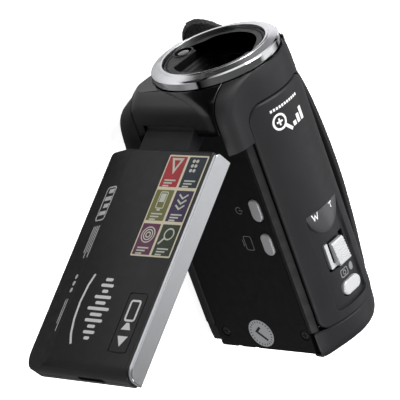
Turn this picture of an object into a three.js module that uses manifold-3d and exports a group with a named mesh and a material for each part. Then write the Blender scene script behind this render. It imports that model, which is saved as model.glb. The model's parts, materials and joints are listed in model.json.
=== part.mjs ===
// Hand-held camcorder with a fold-out screen, a chrome lens ring and a hand strap.
//
// Everything inside `camera` is drawn in lens coordinates, in millimetres:
//   x  from the lens axis towards the screen side (the camera's own left)
//   y  from the front of the lens ring towards the back
//   z  up from the lens axis
// The exported group then moves that frame so the origin is on the base, under the middle.
// The screen unit is drawn closed and turned open about its hinge.

import * as THREE from 'three';
import { mergeVertices } from 'three/addons/utils/BufferGeometryUtils.js';
import Module from 'manifold-3d';

const wasm = await Module();
wasm.setup();

// ---- driving dimensions -------------------------------------------------

const WALL = 1.6; // moulded shells
const GAP = 0.3; // between neighbouring pieces
const BASE_Z = -34.5; // underside
const LENGTH = 107.1; // ring front to back edge
const MID_Y = 54; // the origin's distance behind the ring front

const CROWN = { x: 0.4, z: 0.3, r: 23.6 }; // round top of the body
const SIDE_X = 17.2; // flat side that the screen folds against
const GRIP_X = CROWN.x - CROWN.r; // hand side
const CAP_X = 25.8; // left face of the front end
const FRONT_Y = 3; // front edge of the matte front shell
const PLATE_Y = 4; // front face of the gloss cap
const SPLIT_Y = 25; // joint between the front end and the body
const REAR_Y = 97; // joint between the body and the back shell
const BACK_Y = 104.4; // control panel face
const SIDE_END_Y = 104.9; // back edge of the flat side

const RING_R = 22; // chrome ring
const LIP_R = 18.4;
const OPENING_R = 14.3; // D-shaped lens opening
const OPENING_CHORD_Z = -9.3;
const LAMP = { x: 0.5, z: -13.6, r: 3.0 };

const TOP_HALF = 15; // half width of the top panel
const TOP_R = CROWN.r + 0.6; // it stands a little proud of the shell
const TOP_Y = [13.5, 97];

const HINGE = { x: 22.1, y: 16 }; // upright screen hinge
const HINGE_Z = [-16.4, 5.8]; // its slot, low and high
const PIN_R = 1.3;
const OPEN_DEG = 58.35; // how far the screen stands open at rest
const TWIST_Z = -4.9; // axis along the screen
const SCREEN = { x0: 18.2, x1: 25.8, y0: 26, y1: 105.9, z0: -30.4, z1: 20.6 };
const CREASE_Z = -16.6; // the cover slopes away below this line
const SCREEN_FOOT_R = 7.5; // the screen's lower corner at its free end

const STRAP_WIDTH = 24;
const STRAP_THICK = 2.4;

// ---- geometry helpers ---------------------------------------------------

/** A closed three.js geometry as a solid that can be cut and joined. */
function solid(geometry) {
  const bare = geometry.clone();
  bare.deleteAttribute('normal');
  bare.deleteAttribute('uv');
  const merged = mergeVertices(bare, 1e-4);
  return new wasm.Manifold(new wasm.Mesh({
    numProp: 3,
    vertProperties: new Float32Array(merged.attributes.position.array),
    triVerts: new Uint32Array(merged.index.array),
  }));
}

/** Moves a drawing's plane: its x, y and depth run along the three given axes. */
function lay(geometry, across, up, depth) {
  return geometry.applyMatrix4(new THREE.Matrix4().makeBasis(across, up, depth));
}

const X = new THREE.Vector3(1, 0, 0);
const Y = new THREE.Vector3(0, 1, 0);
const Z = new THREE.Vector3(0, 0, 1);

function extrude(shape, depth, segments) {
  return new THREE.ExtrudeGeometry(shape, { depth, bevelEnabled: false, curveSegments: segments });
}

/** An (x, z) outline made solid from y0 to y1. */
function alongY(shape, y0, y1, segments = 8) {
  return solid(lay(extrude(shape, y1 - y0, segments), X, Z, Y.clone().negate()).translate(0, y1, 0));
}

/** A (y, z) outline made solid from x0 to x1. */
function alongX(shape, x0, x1, segments = 8) {
  return solid(lay(extrude(shape, x1 - x0, segments), Y, Z, X).translate(x0, 0, 0));
}

/** An (x, y) outline made solid from z0 to z1. */
function alongZ(shape, z0, z1, segments = 8) {
  return solid(extrude(shape, z1 - z0, segments).translate(0, 0, z0));
}

function box(x0, x1, y0, y1, z0, z1) {
  const geometry = new THREE.BoxGeometry(x1 - x0, y1 - y0, z1 - z0);
  return solid(geometry.translate((x0 + x1) / 2, (y0 + y1) / 2, (z0 + z1) / 2));
}

function circle(cx, cy, r) {
  return new THREE.Shape().absarc(cx, cy, r, 0, 2 * Math.PI, false);
}

/** A rectangle with round corners; the one at (a1, b0) may have its own radius. */
function roundRect(a0, a1, b0, b1, r, ownR = r) {
  const shape = new THREE.Shape();
  shape.absarc(a1 - ownR, b0 + ownR, ownR, -Math.PI / 2, 0, false);
  shape.absarc(a1 - r, b1 - r, r, 0, Math.PI / 2, false);
  shape.absarc(a0 + r, b1 - r, r, Math.PI / 2, Math.PI, false);
  shape.absarc(a0 + r, b0 + r, r, Math.PI, 1.5 * Math.PI, false);
  return shape;
}

/** The round rectangle { x0, x1, z0, z1 }, grown on every side. */
function grownRect({ x0, x1, z0, z1 }, grow, r) {
  return roundRect(x0 - grow, x1 + grow, z0 - grow, z1 + grow, r);
}

/** A rectangle with half-circle ends, round (a, b). */
function stadium(a, b, long, short) {
  return roundRect(a - long / 2, a + long / 2, b - short / 2, b + short / 2, short / 2 - 0.01);
}

function polygon(points) {
  return new THREE.Shape(points.map(([a, b]) => new THREE.Vector2(a, b)));
}

/** Turned about the lens axis from a closed list of [radius, y]. */
function turned(profile, segments = 48) {
  const loop = profile.map(([r, y]) => new THREE.Vector2(r, y));
  loop.push(loop[0].clone());
  return solid(new THREE.LatheGeometry(loop, segments));
}

/** Skin through rings of equal point counts, closed with a fan at each end. */
function loft(rings) {
  const n = rings[0].length;
  const last = (rings.length - 1) * n;
  const middle = (ring) => [0, 1, 2].map((k) => ring.reduce((sum, p) => sum + p[k], 0) / n);
  const points = [...rings.flat(), middle(rings[0]), middle(rings.at(-1))];
  const [head, tail] = [points.length - 2, points.length - 1];
  const index = [];
  for (let i = 0; i < n; i++) {
    const j = (i + 1) % n;
    for (let k = 0; k < last; k += n) {
      index.push(k + i, k + n + j, k + j, k + i, k + n + i, k + n + j);
    }
    index.push(head, i, j, tail, last + j, last + i);
  }
  const geometry = new THREE.BufferGeometry();
  geometry.setAttribute('position', new THREE.Float32BufferAttribute(points.flat(), 3));
  geometry.setIndex(index);
  return solid(geometry);
}

const degrees = (value) => (value * Math.PI) / 180;
const mix = (a, b, t) => a + (b - a) * t;

/** Points of an outline made of arcs that straight lines join. */
function arcPoints(arcs, y) {
  return arcs.flatMap(({ x, z, r, from, to, steps }) => {
    const points = [];
    for (let k = 0; k <= steps; k++) {
      const angle = degrees(mix(from, to, k / steps));
      points.push([x + r * Math.cos(angle), y, z + r * Math.sin(angle)]);
    }
    return points;
  });
}

// ---- outlines of the case -----------------------------------------------

const GRIP_CORNER_R = 8;
const GRIP_FRONT_R = 10; // lower corner of the front end on the hand side
const SIDE_CORNER_R = 6;
const SIDE_STEPS = 5;
const CHIN_R = 9.5; // lower corner of the front end on the screen side
const NECK_R = RING_R + 0.7; // the front end is round behind the ring
const SHOULDER = { x: 17.8, z: 11.6, r: 8 };
const SHOULDER_RUN = new THREE.Vector2(SHOULDER.x - CROWN.x, SHOULDER.z - CROWN.z);
/** Direction, in degrees, at which one straight line touches both the shoulder and the crown. */
const TOP_TANGENT = THREE.MathUtils.radToDeg(
  SHOULDER_RUN.angle() + Math.acos((CROWN.r - SHOULDER.r) / SHOULDER_RUN.length()),
);
const SAG = 0.6; // how far the surface hollows between them
const SAG_STEPS = 6;

/** Cross-section of the body, drawn in by `inset` all round. */
function bodySection(y, inset, left = SIDE_X) {
  const r = CROWN.r - inset;
  const start = THREE.MathUtils.radToDeg(Math.acos((left - inset - CROWN.x) / r));
  const low = BASE_Z + GRIP_CORNER_R;
  const side = { x: left - SIDE_CORNER_R, z: BASE_Z + SIDE_CORNER_R, r: SIDE_CORNER_R - inset };
  const grip = { x: GRIP_X + GRIP_CORNER_R, z: low, r: GRIP_CORNER_R - inset };
  return arcPoints([
    { ...side, from: 270, to: 360, steps: SIDE_STEPS },
    { x: CROWN.x, z: CROWN.z, r, from: start, to: 180, steps: 18 },
    { ...grip, from: 180, to: 270, steps: 6 },
  ], y);
}

/**
 * Cross-section of the front end. `flare` runs from the round front edge (0) to full width (1),
 * `rise` lifts the underside and `edge` rounds the lower corners off.
 */
function frontSection(y, edge, flare, rise, inset) {
  const shoulder = {
    x: mix(0, SHOULDER.x, flare),
    z: mix(0, SHOULDER.z, flare),
    r: mix(NECK_R, SHOULDER.r, flare) - inset,
    from: mix(-24, 0, flare),
    to: TOP_TANGENT,
    steps: 7,
  };
  const crown = {
    x: mix(0, CROWN.x, flare),
    z: mix(0, CROWN.z, flare),
    r: mix(NECK_R, CROWN.r, flare) - inset,
    from: TOP_TANGENT,
    to: 180,
    steps: 13,
  };
  const low = BASE_Z + rise;
  const grip = { x: GRIP_X + GRIP_FRONT_R, z: low + GRIP_FRONT_R, r: GRIP_FRONT_R - inset - edge };
  const chin = { x: CAP_X - CHIN_R, z: low + CHIN_R, r: CHIN_R - inset - edge };
  const right = arcPoints([{ ...chin, from: 270, to: 360, steps: 8 }, shoulder], y);
  const left = arcPoints([crown, { ...grip, from: 180, to: 270, steps: 6 }], y);
  return [...right, ...sagBetween(right.at(-1), left[0], SAG * flare * flare), ...left];
}

/** Points from one touching point to the other, hollowed most near the shoulder. */
function sagBetween(start, end, depth) {
  const points = [];
  for (let k = 1; k < SAG_STEPS; k++) {
    const u = k / SAG_STEPS;
    const sink = depth * 6.75 * u * (1 - u) ** 2; // 6.75 makes the deepest point one depth
    const x = mix(start[0], end[0], u) - sink * Math.cos(degrees(TOP_TANGENT));
    const z = mix(start[2], end[2], u) - sink * Math.sin(degrees(TOP_TANGENT));
    points.push([x, start[1], z]);
  }
  return points;
}

/** The front end as a full block. Each row is [y, edge rounding, flare, rise of the underside]. */
const FRONT_ROWS = [
  [FRONT_Y, 3.4, 0, 10.4],
  [3.6, 2.3, 0.2, 10.9],
  [4.8, 1.1, 0.45, 10.9],
  [6.6, 0.3, 0.7, 9.9],
  [9, 0, 0.88, 6.9],
  [11, 0, 0.96, 4.4],
  [14, 0, 1, 2.1],
  [18, 0, 1, 0.8],
  [SPLIT_Y, 0, 1, 0],
];

function frontBlock(inset, start, end) {
  return loft(FRONT_ROWS.map(([y, edge, flare, rise]) => {
    const place = mix(start, end, (y - FRONT_Y) / (SPLIT_Y - FRONT_Y));
    return frontSection(place, edge, flare, rise, inset);
  }));
}

const biggest = (body) => body.decompose().sort((a, b) => b.volume() - a.volume())[0];

const tube = (y0, y1, outer, inner) =>
  loft([bodySection(y0, outer), bodySection(y1, outer)])
    .subtract(loft([bodySection(y0 - 1, inner), bodySection(y1 + 1, inner)]));

const disc = (r, y0, y1, x = 0, z = 0, segments = 20) => alongY(circle(x, z, r), y0, y1, segments);

// ---- scene graph --------------------------------------------------------

const model = new THREE.Group();
const camera = new THREE.Group();
camera.position.set(0, -MID_Y, -BASE_Z);
model.add(camera);

const screenUnit = new THREE.Group();
screenUnit.position.set(HINGE.x, HINGE.y, 0);
screenUnit.rotation.z = degrees(-OPEN_DEG);
camera.add(screenUnit);

const finish = (color, roughness, metalness = 0) => ({ color, roughness, metalness });
const MATTE = finish(0x2b2c2e, 0.6);
const PANEL = finish(0x1c1d1f, 0.7);
const GLOSS = finish(0x0c0c0e, 0.15);
const SILVER = finish(0xc9cacc, 0.35, 0.6);
const CHROME = finish(0xe6e7e9, 0.1, 1);
const STEEL = finish(0xa9abae, 0.35, 1);
const BOARD = finish(0x1d4a2c, 0.5);
const BLACK = finish(0x101012, 0.5);
const GLASS = finish(0x16181d, 0.05);
const WEB = finish(0x18181a, 0.95);

function add(name, body, look, parent = camera) {
  const { vertProperties, triVerts } = body.getMesh();
  const geometry = new THREE.BufferGeometry();
  geometry.setAttribute('position', new THREE.BufferAttribute(vertProperties, 3));
  geometry.setIndex(new THREE.BufferAttribute(triVerts, 1));
  geometry.computeVertexNormals();
  if (parent === screenUnit) {
    geometry.translate(-HINGE.x, -HINGE.y, 0);
  }
  const mesh = new THREE.Mesh(geometry, new THREE.MeshStandardMaterial(look));
  mesh.name = name;
  parent.add(mesh);
}

// ---- lens and lamp ------------------------------------------------------

function buildLens() {
  add('lens_ring', turned([
    [RING_R, 3.7], [RING_R - 3.4, 3.7], [RING_R - 3.4, 1.4], [LIP_R - 0.6, 1.4],
    [LIP_R - 0.6, -1.0], [LIP_R, -1.2], [LIP_R + 0.5, -1.0], [RING_R - 0.3, -0.1], [RING_R, 0.3],
  ], 56), CHROME);

  const opening = (r, chord, y0, y1) =>
    disc(r, y0, y1, 0, 0, 24).intersect(box(-30, 30, y0 - 1, y1 + 1, chord, 30));
  const plate = disc(LIP_R - 0.9, 0.2, 1.2, 0, 0, 32)
    .add(disc(LIP_R, 1.7, 3.0, 0, 0, 32))
    .add(disc(LIP_R - 0.9, 1.1, 1.8, 0, 0, 32))
    .subtract(opening(OPENING_R, OPENING_CHORD_Z, -1, 4))
    .subtract(disc(LAMP.r + 0.25, -1, 4, LAMP.x, LAMP.z, 12));
  add('lens_plate', plate, BLACK);

  // Stepped hood behind the opening: a rectangular mouth that narrows to the lens.
  const hood = disc(17.5, 3.3, 11, 0, 0, 20)
    .subtract(opening(OPENING_R, OPENING_CHORD_Z, 3, 4.5))
    .subtract(alongY(roundRect(-11.2, 11.2, -8.3, 8.3, 2), 4, 6.4, 3))
    .subtract(alongY(roundRect(-9.4, 9.4, -6.9, 6.9, 2), 6, 8.4, 3))
    .subtract(disc(7.2, 8, 12, 0, 0, 12)).subtract(disc(9.8, 9.2, 12, 0, 0, 12))
    .subtract(disc(3.6, 3, 12, LAMP.x, LAMP.z, 8));
  add('lens_hood', hood, BLACK);

  add('lens_barrel', turned([
    [6.5, 9], [9.4, 11.3], [9.4, 27], [6.2, 27], [6.2, 13.4], [5.9, 13.4], [5.9, 9],
  ], 32), BLACK);
  const front = [[0, 9.3], [2.4, 9.5], [4.4, 10.1], [5.6, 10.9], [5.6, 12.2], [0, 12.2]];
  add('front_lens', turned(front, 32), GLASS);
  const rear = [[0, 19.6], [3, 19.2], [5.8, 18.2], [5.8, 21.6], [0, 21.6]];
  add('rear_lens', turned(rear, 24), GLASS);
  add('image_sensor', box(-4.2, 4.2, 24.8, 27.3, -3.4, 3.4), BLACK);
  add('sensor_board', box(-11, 11, 27.6, 28.8, -10, 10), BOARD);

  const lampLens = turned([[0, -0.1], [1.6, 0.1], [LAMP.r - 0.1, 0.8], [LAMP.r - 0.1, 3.0], [0, 3.0]], 24);
  add('lamp_lens', lampLens.translate([LAMP.x, 0, LAMP.z]), finish(0xd8dcd8, 0.15));
  add('lamp_led', disc(2.2, 3.3, 6.5, LAMP.x, LAMP.z, 8), finish(0xd9d27a, 0.4));
  add('microphone', disc(2.2, 11.4, 14, -13.2, 12.4, 8), STEEL);
}

// ---- front end ----------------------------------------------------------

const CAP_LOW_Z = -19.75;
const CAP_HIGH_Z = 15.5;
const POCKET_Y = 17.2; // back edge of the gloss side above the hinge
const SLOT_Y = 13.7;
const INNER_X = CAP_X - WALL;

/** Everything that belongs to the gloss cap, grown by `grow` to cut its neighbour. */
function capRegion(grow) {
  return box(-2, 40, -5, SPLIT_Y + 1, CAP_LOW_Z - grow, CAP_HIGH_Z + grow)
    .add(disc(RING_R + 0.4 + grow, -5, 6.2, 0, 0, 32))
    .add(alongY(roundRect(-16 - grow, 19 + grow, -31 - grow, 0, 8), -5, 6.2));
}

function buildFrontEnd() {
  const skin = frontBlock(0, FRONT_Y, SPLIT_Y).subtract(frontBlock(WALL, PLATE_Y + WALL, SPLIT_Y + 3));
  const ringSeat = disc(RING_R + 0.4, 0, PLATE_Y, 0, 0, 48);
  const lensHole = disc(RING_R - 4.1, 0, 8, 0, 0, 32);
  const slot = box(17, 40, SLOT_Y, 40, HINGE_Z[0], HINGE_Z[1] + 1);
  const pocket = box(17, 40, POCKET_Y, 40, HINGE_Z[1], CAP_HIGH_Z + 0.1);

  const cap = skin.intersect(capRegion(0))
    .subtract(ringSeat).subtract(lensHole).subtract(slot).subtract(pocket);
  add('front_cap', biggest(cap), GLOSS);

  const pinHole = alongZ(circle(HINGE.x, HINGE.y, PIN_R + 0.1), HINGE_Z[0] - 4, HINGE_Z[0], 12);
  const topWindow = box(-TOP_HALF - GAP, TOP_HALF + GAP, TOP_Y[0] - GAP, SPLIT_Y + 1, 10, 40);
  const inside = frontBlock(0.8, FRONT_Y, SPLIT_Y);
  const shelfZ = HINGE_Z[0] - GAP;
  const chinWall = box(SIDE_X + GAP, INNER_X - GAP, SPLIT_Y - WALL, SPLIT_Y, BASE_Z, shelfZ);
  const shelf = box(SIDE_X + GAP, INNER_X - GAP, SLOT_Y - WALL, SPLIT_Y, shelfZ - WALL, shelfZ);
  const walls = inside.intersect(chinWall.add(shelf));
  const band = skin
    .subtract(capRegion(GAP)).subtract(ringSeat)
    .add(walls)
    .subtract(topWindow).subtract(pinHole);
  add('front_shell', biggest(band), MATTE);
}

// ---- body shells --------------------------------------------------------

const BAY = { x0: -17.5, x1: 9.5, y0: 52, y1: 98 }; // battery bay in the base
const DOOR = { x0: -18.2, x1: 10.2, y0: 50, y1: 99.8, z0: BASE_Z + 0.3, z1: BASE_Z + 1.5 };
const TRIPOD = { x: 0, y: 40, r: 3.1 };
const SIDE_LOW_Z = -27; // seam between the flat side and the base
const SIDE_BUTTONS_Z = 11.3;
const SIDE_BUTTONS_Y = [49.5, 62.4];
const SIDE_SCREWS = [[99.1, -23.0], [97.7, 13.2]];

function buildSide() {
  const strip = tube(SPLIT_Y + GAP, REAR_Y - GAP, 0, WALL)
    .intersect(box(TOP_HALF + GAP, 40, 0, 120, SIDE_LOW_Z, 40));
  const plate = box(SIDE_X - WALL, SIDE_X, SPLIT_Y + GAP, SIDE_END_Y, SIDE_LOW_Z, 16.9);
  const floorZ = HINGE_Z[0] - GAP - WALL;
  const pocketFloor = box(SIDE_X - WALL, SIDE_X, SLOT_Y - WALL, SPLIT_Y + 1, floorZ, CAP_HIGH_Z - 0.5);
  let side = strip.add(plate).add(pocketFloor);
  for (const y of SIDE_BUTTONS_Y) {
    side = side.subtract(alongX(stadium(y, SIDE_BUTTONS_Z, 8.9, 5.0), 10, 30, 6));
  }
  for (const [y, z] of SIDE_SCREWS) {
    side = side.subtract(alongX(circle(y, z, 1.9), 16.4, 30, 8));
    side = side.subtract(alongX(circle(y, z, 0.9), 10, 30, 6));
  }
  add('left_housing', side, PANEL);
  SIDE_SCREWS.forEach(([y, z], k) => {
    const screw = alongX(circle(y, z, 1.6), 16.45, 17.0, 10).add(alongX(circle(y, z, 0.7), 15.5, 16.6, 6));
    add(`side_screw_${k + 1}`, screw, STEEL);
  });
}

function buildGrip() {
  const cutTop = box(-TOP_HALF - GAP, TOP_HALF + GAP, 0, 120, 10, 40);
  const cutSide = box(TOP_HALF - 0.1, 40, 0, 120, SIDE_LOW_Z - GAP, 40);
  const doorSeat = box(DOOR.x0 - GAP, DOOR.x1 + GAP, DOOR.y0 - GAP, 120, BASE_Z - 1, DOOR.z1 + GAP);
  const bayHole = box(BAY.x0, BAY.x1, BAY.y0, BAY.y1, BASE_Z - 1, BASE_Z + 8);
  const ledge = loft([bodySection(SPLIT_Y + GAP, 0.1), bodySection(REAR_Y - GAP, 0.1)])
    .intersect(box(DOOR.x0 - 3, DOOR.x1 + 3, DOOR.y0 - 3, 120, BASE_Z, DOOR.z1 + GAP + 1.2));
  const shell = tube(SPLIT_Y + GAP, REAR_Y - GAP, 0, WALL)
    .subtract(cutTop).subtract(cutSide)
    .add(ledge).subtract(doorSeat).subtract(bayHole)
    .subtract(alongZ(circle(TRIPOD.x, TRIPOD.y, 5.2), BASE_Z - 1, BASE_Z + 4, 12));
  add('right_shell', shell, MATTE);
  const socket = alongZ(circle(TRIPOD.x, TRIPOD.y, 4.9), BASE_Z + 0.2, BASE_Z + 6.5, 12)
    .subtract(alongZ(circle(TRIPOD.x, TRIPOD.y, TRIPOD.r), BASE_Z - 1, BASE_Z + 8, 12));
  add('tripod_socket', socket, STEEL);
}

function buildTop() {
  const ring = alongY(circle(CROWN.x, CROWN.z, TOP_R), TOP_Y[0], TOP_Y[1], 40)
    .subtract(alongY(circle(CROWN.x, CROWN.z, TOP_R - 2.4), 0, 120, 40));
  const outline = roundRect(-TOP_HALF, TOP_HALF, TOP_Y[0], TOP_Y[1], 4);
  let panel = ring.intersect(alongZ(outline, 10, 40, 4));
  const trough = box(-9.6, 8.4, 60, 93.5, 23.2, 40);
  const dome = alongZ(circle(0, 58, 8.2), 22.4, 24.5, 12);
  panel = panel.subtract(trough).add(dome.intersect(box(-20, 20, 57.4, 70, 20, 30)))
    .subtract(box(-7.6, 5.2, 69.2, 79.9, 10, 40))
    .subtract(alongZ(roundRect(-6.3, 3.4, 85.3, 90.9, 2.7), 10, 40, 5));
  add('top_panel', panel, MATTE);
}

// ---- back end -----------------------------------------------------------

/** Each row is [y, how far the outline is drawn in]. */
const REAR_ROWS = [
  [REAR_Y, 0],
  [101, 0.15],
  [103.6, 0.45],
  [105.2, 1.05],
  [106, 2.05],
  [106.6, 3.3],
  [LENGTH, 5.4],
];
const TIP_KEEPS = 0.7; // share of that which the corner above the flat side takes back

const REAR_PANEL = { x0: -16.5, x1: 11.5, z0: -24, z1: 13 };
const PORT = { x0: 3.6, x1: 10.2, z0: -22, z1: -5 };
const RECORD = { x: -10.2, z: 5.8, r: 4.6 };
const PAD = { x: -3.6, z: -5.2, r: 6.0 };
const KEYS = [['mode_button', 0.6, 6.6], ['menu_button', 7.0, 6.6]];
const KEY_R = 1.9;

/** The rounded end's cross-section, pointed at the corner above the flat side. */
function rearSection(y, inset) {
  const full = bodySection(y, 0, SIDE_X - 0.2);
  const drawnIn = bodySection(y, inset, SIDE_X - 0.2);
  return full.map((point, k) => {
    const near = Math.exp(-(((k - SIDE_STEPS - 1) / 2.5) ** 2)); // 1 at the corner
    return point.map((value, axis) => mix(value, drawnIn[k][axis], 1 - TIP_KEEPS * near));
  });
}

function buildRear() {
  const outer = loft(REAR_ROWS.map(([y, inset]) => rearSection(y, inset)));
  const hollow = loft([
    bodySection(REAR_Y - 1, WALL),
    bodySection(102.2, WALL + 1),
    bodySection(102.8, WALL + 1.6),
  ]);
  const belowHood = box(-40, 40, BACK_Y, 120, -40, 14.2);
  const besideSide = box(SIDE_X - WALL - 2 * GAP, 40, 0, SIDE_END_Y + GAP, -40, 17.2);
  const panelOutline = (grow, r) => grownRect(REAR_PANEL, grow, r);
  const seat = alongY(panelOutline(GAP, 3), 103.5, 110, 4);
  const room = box(-16, 10.5, 100, 110, -23, 12);
  const doorGap = box(DOOR.x0 - GAP, DOOR.x1 + GAP, 0, 120, BASE_Z - 1, DOOR.z1 + GAP);
  const shell = outer.subtract(hollow).subtract(belowHood).subtract(besideSide)
    .subtract(seat).subtract(room).subtract(doorGap);
  add('rear_shell', biggest(shell), MATTE);

  let panel = alongY(panelOutline(0, 2.7), 103.8, 104.8, 4)
    .subtract(disc(RECORD.r + 0.3, 100, 110, RECORD.x, RECORD.z, 12))
    .subtract(disc(PAD.r + 0.4, 100, 110, PAD.x, PAD.z, 12))
    .subtract(disc(0.9, 100, 110, 8.5, 0, 6))
    .subtract(alongY(grownRect(PORT, GAP, 1.3), 100, 110, 3));
  for (const [, x, z] of KEYS) {
    panel = panel.subtract(disc(KEY_R + GAP, 100, 110, x, z, 8));
  }
  add('control_panel', panel, GLOSS);

  const rearButton = (name, r, x, z, proud) => {
    const foot = disc(r + 0.8, 102.4, 103.4, x, z, 12);
    add(name, disc(r, 102.4, 104.8 + proud, x, z, 12).add(foot), SILVER);
  };
  rearButton('record_button', RECORD.r, RECORD.x, RECORD.z, 1.2);
  for (const [name, x, z] of KEYS) {
    rearButton(name, KEY_R, x, z, 0.5);
  }
  add('status_light', disc(0.7, 102.6, 104.9, 8.5, 0, 6), finish(0x7a1612, 0.3));

  add('pad_pivot', disc(1.1, 99.6, 102.1, PAD.x, PAD.z, 8), BLACK);
  const dial = turned([
    [0, 102.4], [PAD.r, 102.9], [PAD.r, 105.0], [PAD.r - 0.6, 105.4], [2.6, 105.1], [2.2, 105.5], [0, 105.5],
  ], 28);
  add('navigation_pad', dial.translate([PAD.x, 0, PAD.z]), SILVER);

  add('port_cover', alongY(grownRect(PORT, 0, 1), 103.9, 105.0, 3), BLACK);
  const socket = (z0, z1) =>
    box(4.4, 9.4, 99.2, 103.2, z0, z1).subtract(box(4.9, 8.9, 100.4, 104, z0 + 0.5, z1 - 0.5));
  add('usb_socket', socket(-12.4, -6.4), STEEL);
  add('video_socket', socket(-21, -13.8), STEEL);
  add('rear_board', box(-15, 10, 97.6, 98.8, -22, 11), BOARD);
}

// ---- buttons ------------------------------------------------------------

function buildButtons() {
  const names = ['power_button', 'display_button'];
  SIDE_BUTTONS_Y.forEach((y, k) => {
    const cap = alongX(stadium(y, SIDE_BUTTONS_Z, 8.3, 4.4), 14.2, SIDE_X + 0.5, 6)
      .add(alongX(stadium(y, SIDE_BUTTONS_Z, 9.7, 5.8), 14.2, 15.2, 6));
    add(names[k], cap, SILVER);
  });
  const photo = alongZ(roundRect(-6.0, 3.1, 85.6, 90.6, 2.45), 19.4, 23.9, 5)
    .add(alongZ(roundRect(-6.6, 3.7, 85.0, 91.2, 2.9), 19.4, 20.4, 5));
  add('photo_button', photo, SILVER);

  const plate = [[70.9, 22.2], [80.0 - 0.8, 22.2], [80.0 - 0.8, 24.6]];
  for (let k = 0; k < 6; k++) {
    const y = 78.9 - k * 1.3;
    const rise = 24.4 - k * 0.12;
    plate.push([y, rise], [y - 0.35, rise + 0.35], [y - 0.7, rise]);
  }
  plate.push([70.9, 23.4]);
  add('zoom_slider', alongX(polygon(plate), -4.6, 1.5), SILVER);
  const carrier = box(-6.3, 4.1, 69.9, 79.4, 19.6, 21.9).add(box(2.5, 4.1, 69.9, 79.4, 21.5, 22.6));
  add('zoom_carrier', carrier, finish(0xdadbdc, 0.5));
}

// ---- fold-out screen, drawn closed ---------------------------------------

function buildScreen() {
  const { x0, x1, y0, y1, z0, z1 } = SCREEN;
  const foot = x1 - 4.6; // the cover's lower edge after its slope
  const split = 20.6; // joint between cover and frame
  const addTo = (name, body, look) => add(name, body, look, screenUnit);

  const outline = (grow, face) => polygon([
    [split + 0.1, z0 + grow], [Math.max(foot - grow, split + 0.3), z0 + grow], [face, CREASE_Z],
    [face, z1 - 1.7 - grow], [split + 0.1, z1 - 1.7 - grow],
  ]);
  const plan = (grow) => {
    const shape = new THREE.Shape();
    shape.moveTo(x0 - 1, y0 + grow);
    shape.absarc(x1 - 1.5 - grow, y0 + 1.5 + grow, 1.5, -Math.PI / 2, 0, false);
    shape.absarc(x1 - 4 - grow, y1 - 4 - grow, 4, 0, Math.PI / 2, false);
    shape.lineTo(x0 - 1, y1 - grow);
    return shape;
  };
  const top = z1 - 1.7;
  const face = (grow) => alongX(
    roundRect(y0 + grow, y1 - grow, z0 + grow, top - grow, 1.5, SCREEN_FOOT_R - grow), x0 - 3, x1 + 1, 6,
  );
  const hollow = alongY(outline(1.2, x1 - 1.2), y0, y1)
    .add(box(x0 - 2, split + 0.2, y0, y1, z0 + 1.2, top - 1.2))
    .intersect(face(1.2));
  const shaftHole = disc(2.3, 20, 34, HINGE.x, TWIST_Z, 12);
  const cover = alongY(outline(0, x1), y0, y1).intersect(alongZ(plan(0), -50, 50, 5)).intersect(face(0))
    .subtract(hollow.intersect(alongZ(plan(1.2), -50, 50, 5)))
    .subtract(shaftHole);
  addTo('screen_cover', cover, MATTE);

  const trim = alongZ(plan(0.4), z1 - 1.4, z1, 5).intersect(box(x0 + 0.3, x1, y0, y1, z0, z1 + 1));
  addTo('screen_edge_trim', trim, SILVER);

  const window = { y0: 33, y1: 98.5, z0: -27, z1: 16.4 };
  const frame = alongX(roundRect(y0, y1, z0, top, 1.5, SCREEN_FOOT_R), x0, split - 0.2, 5)
    .subtract(box(x0 - 1, split, window.y0, window.y1, window.z0, window.z1))
    .subtract(shaftHole);
  addTo('screen_frame', frame, BLACK);
  const glass = box(
    x0 + 0.3, x0 + 1.1, window.y0 + GAP, window.y1 - GAP, window.z0 + GAP, window.z1 - GAP,
  );
  addTo('screen_glass', glass, GLASS);
  const module = box(x0 + 1.4, x0 + 4.2, window.y0 + 1, window.y1 - 1, z0 + 8.6, window.z1 - 1);
  addTo('display_module', module, finish(0x9a9da0, 0.4, 0.6));
}

function buildHinge() {
  const addTo = (name, body, look) => add(name, body, look, screenUnit);
  const low = HINGE_Z[0] + GAP;
  const high = HINGE_Z[1] - GAP;
  const knuckle = alongZ(circle(HINGE.x, HINGE.y, 3), low, high, 16);
  const arm = box(HINGE.x - 3, HINGE.x + 2, HINGE.y, SCREEN.y0 - GAP, low, high);
  const block = knuckle.add(arm)
    .subtract(alongZ(circle(HINGE.x, HINGE.y, PIN_R + 0.1), low - 1, high + 1, 12))
    .subtract(disc(1.7, 20.4, SCREEN.y0, HINGE.x, TWIST_Z, 16));
  addTo('hinge_block', block, MATTE);
  const collar = disc(2.2, 29.2, 30.4, HINGE.x, TWIST_Z, 16);
  addTo('twist_shaft', disc(1.6, 20.8, 31.5, HINGE.x, TWIST_Z, 16).add(collar), STEEL);
  add('hinge_pin', alongZ(circle(HINGE.x, HINGE.y, PIN_R), low - 1.6, high + 1.9, 12), STEEL);
  const ear = box(SIDE_X + GAP, HINGE.x + 1.9, 13.6, 18.2, high + 0.5, high + 1.8);
  const spine = box(SIDE_X + GAP, SIDE_X + 1.2, 13.6, 18.2, low + 0.2, high + 1.8);
  const bracket = ear.add(spine)
    .subtract(alongZ(circle(HINGE.x, HINGE.y, PIN_R + 0.1), low, high + 3, 12));
  add('hinge_bracket', bracket, STEEL);
}

// ---- inside -------------------------------------------------------------

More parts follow.
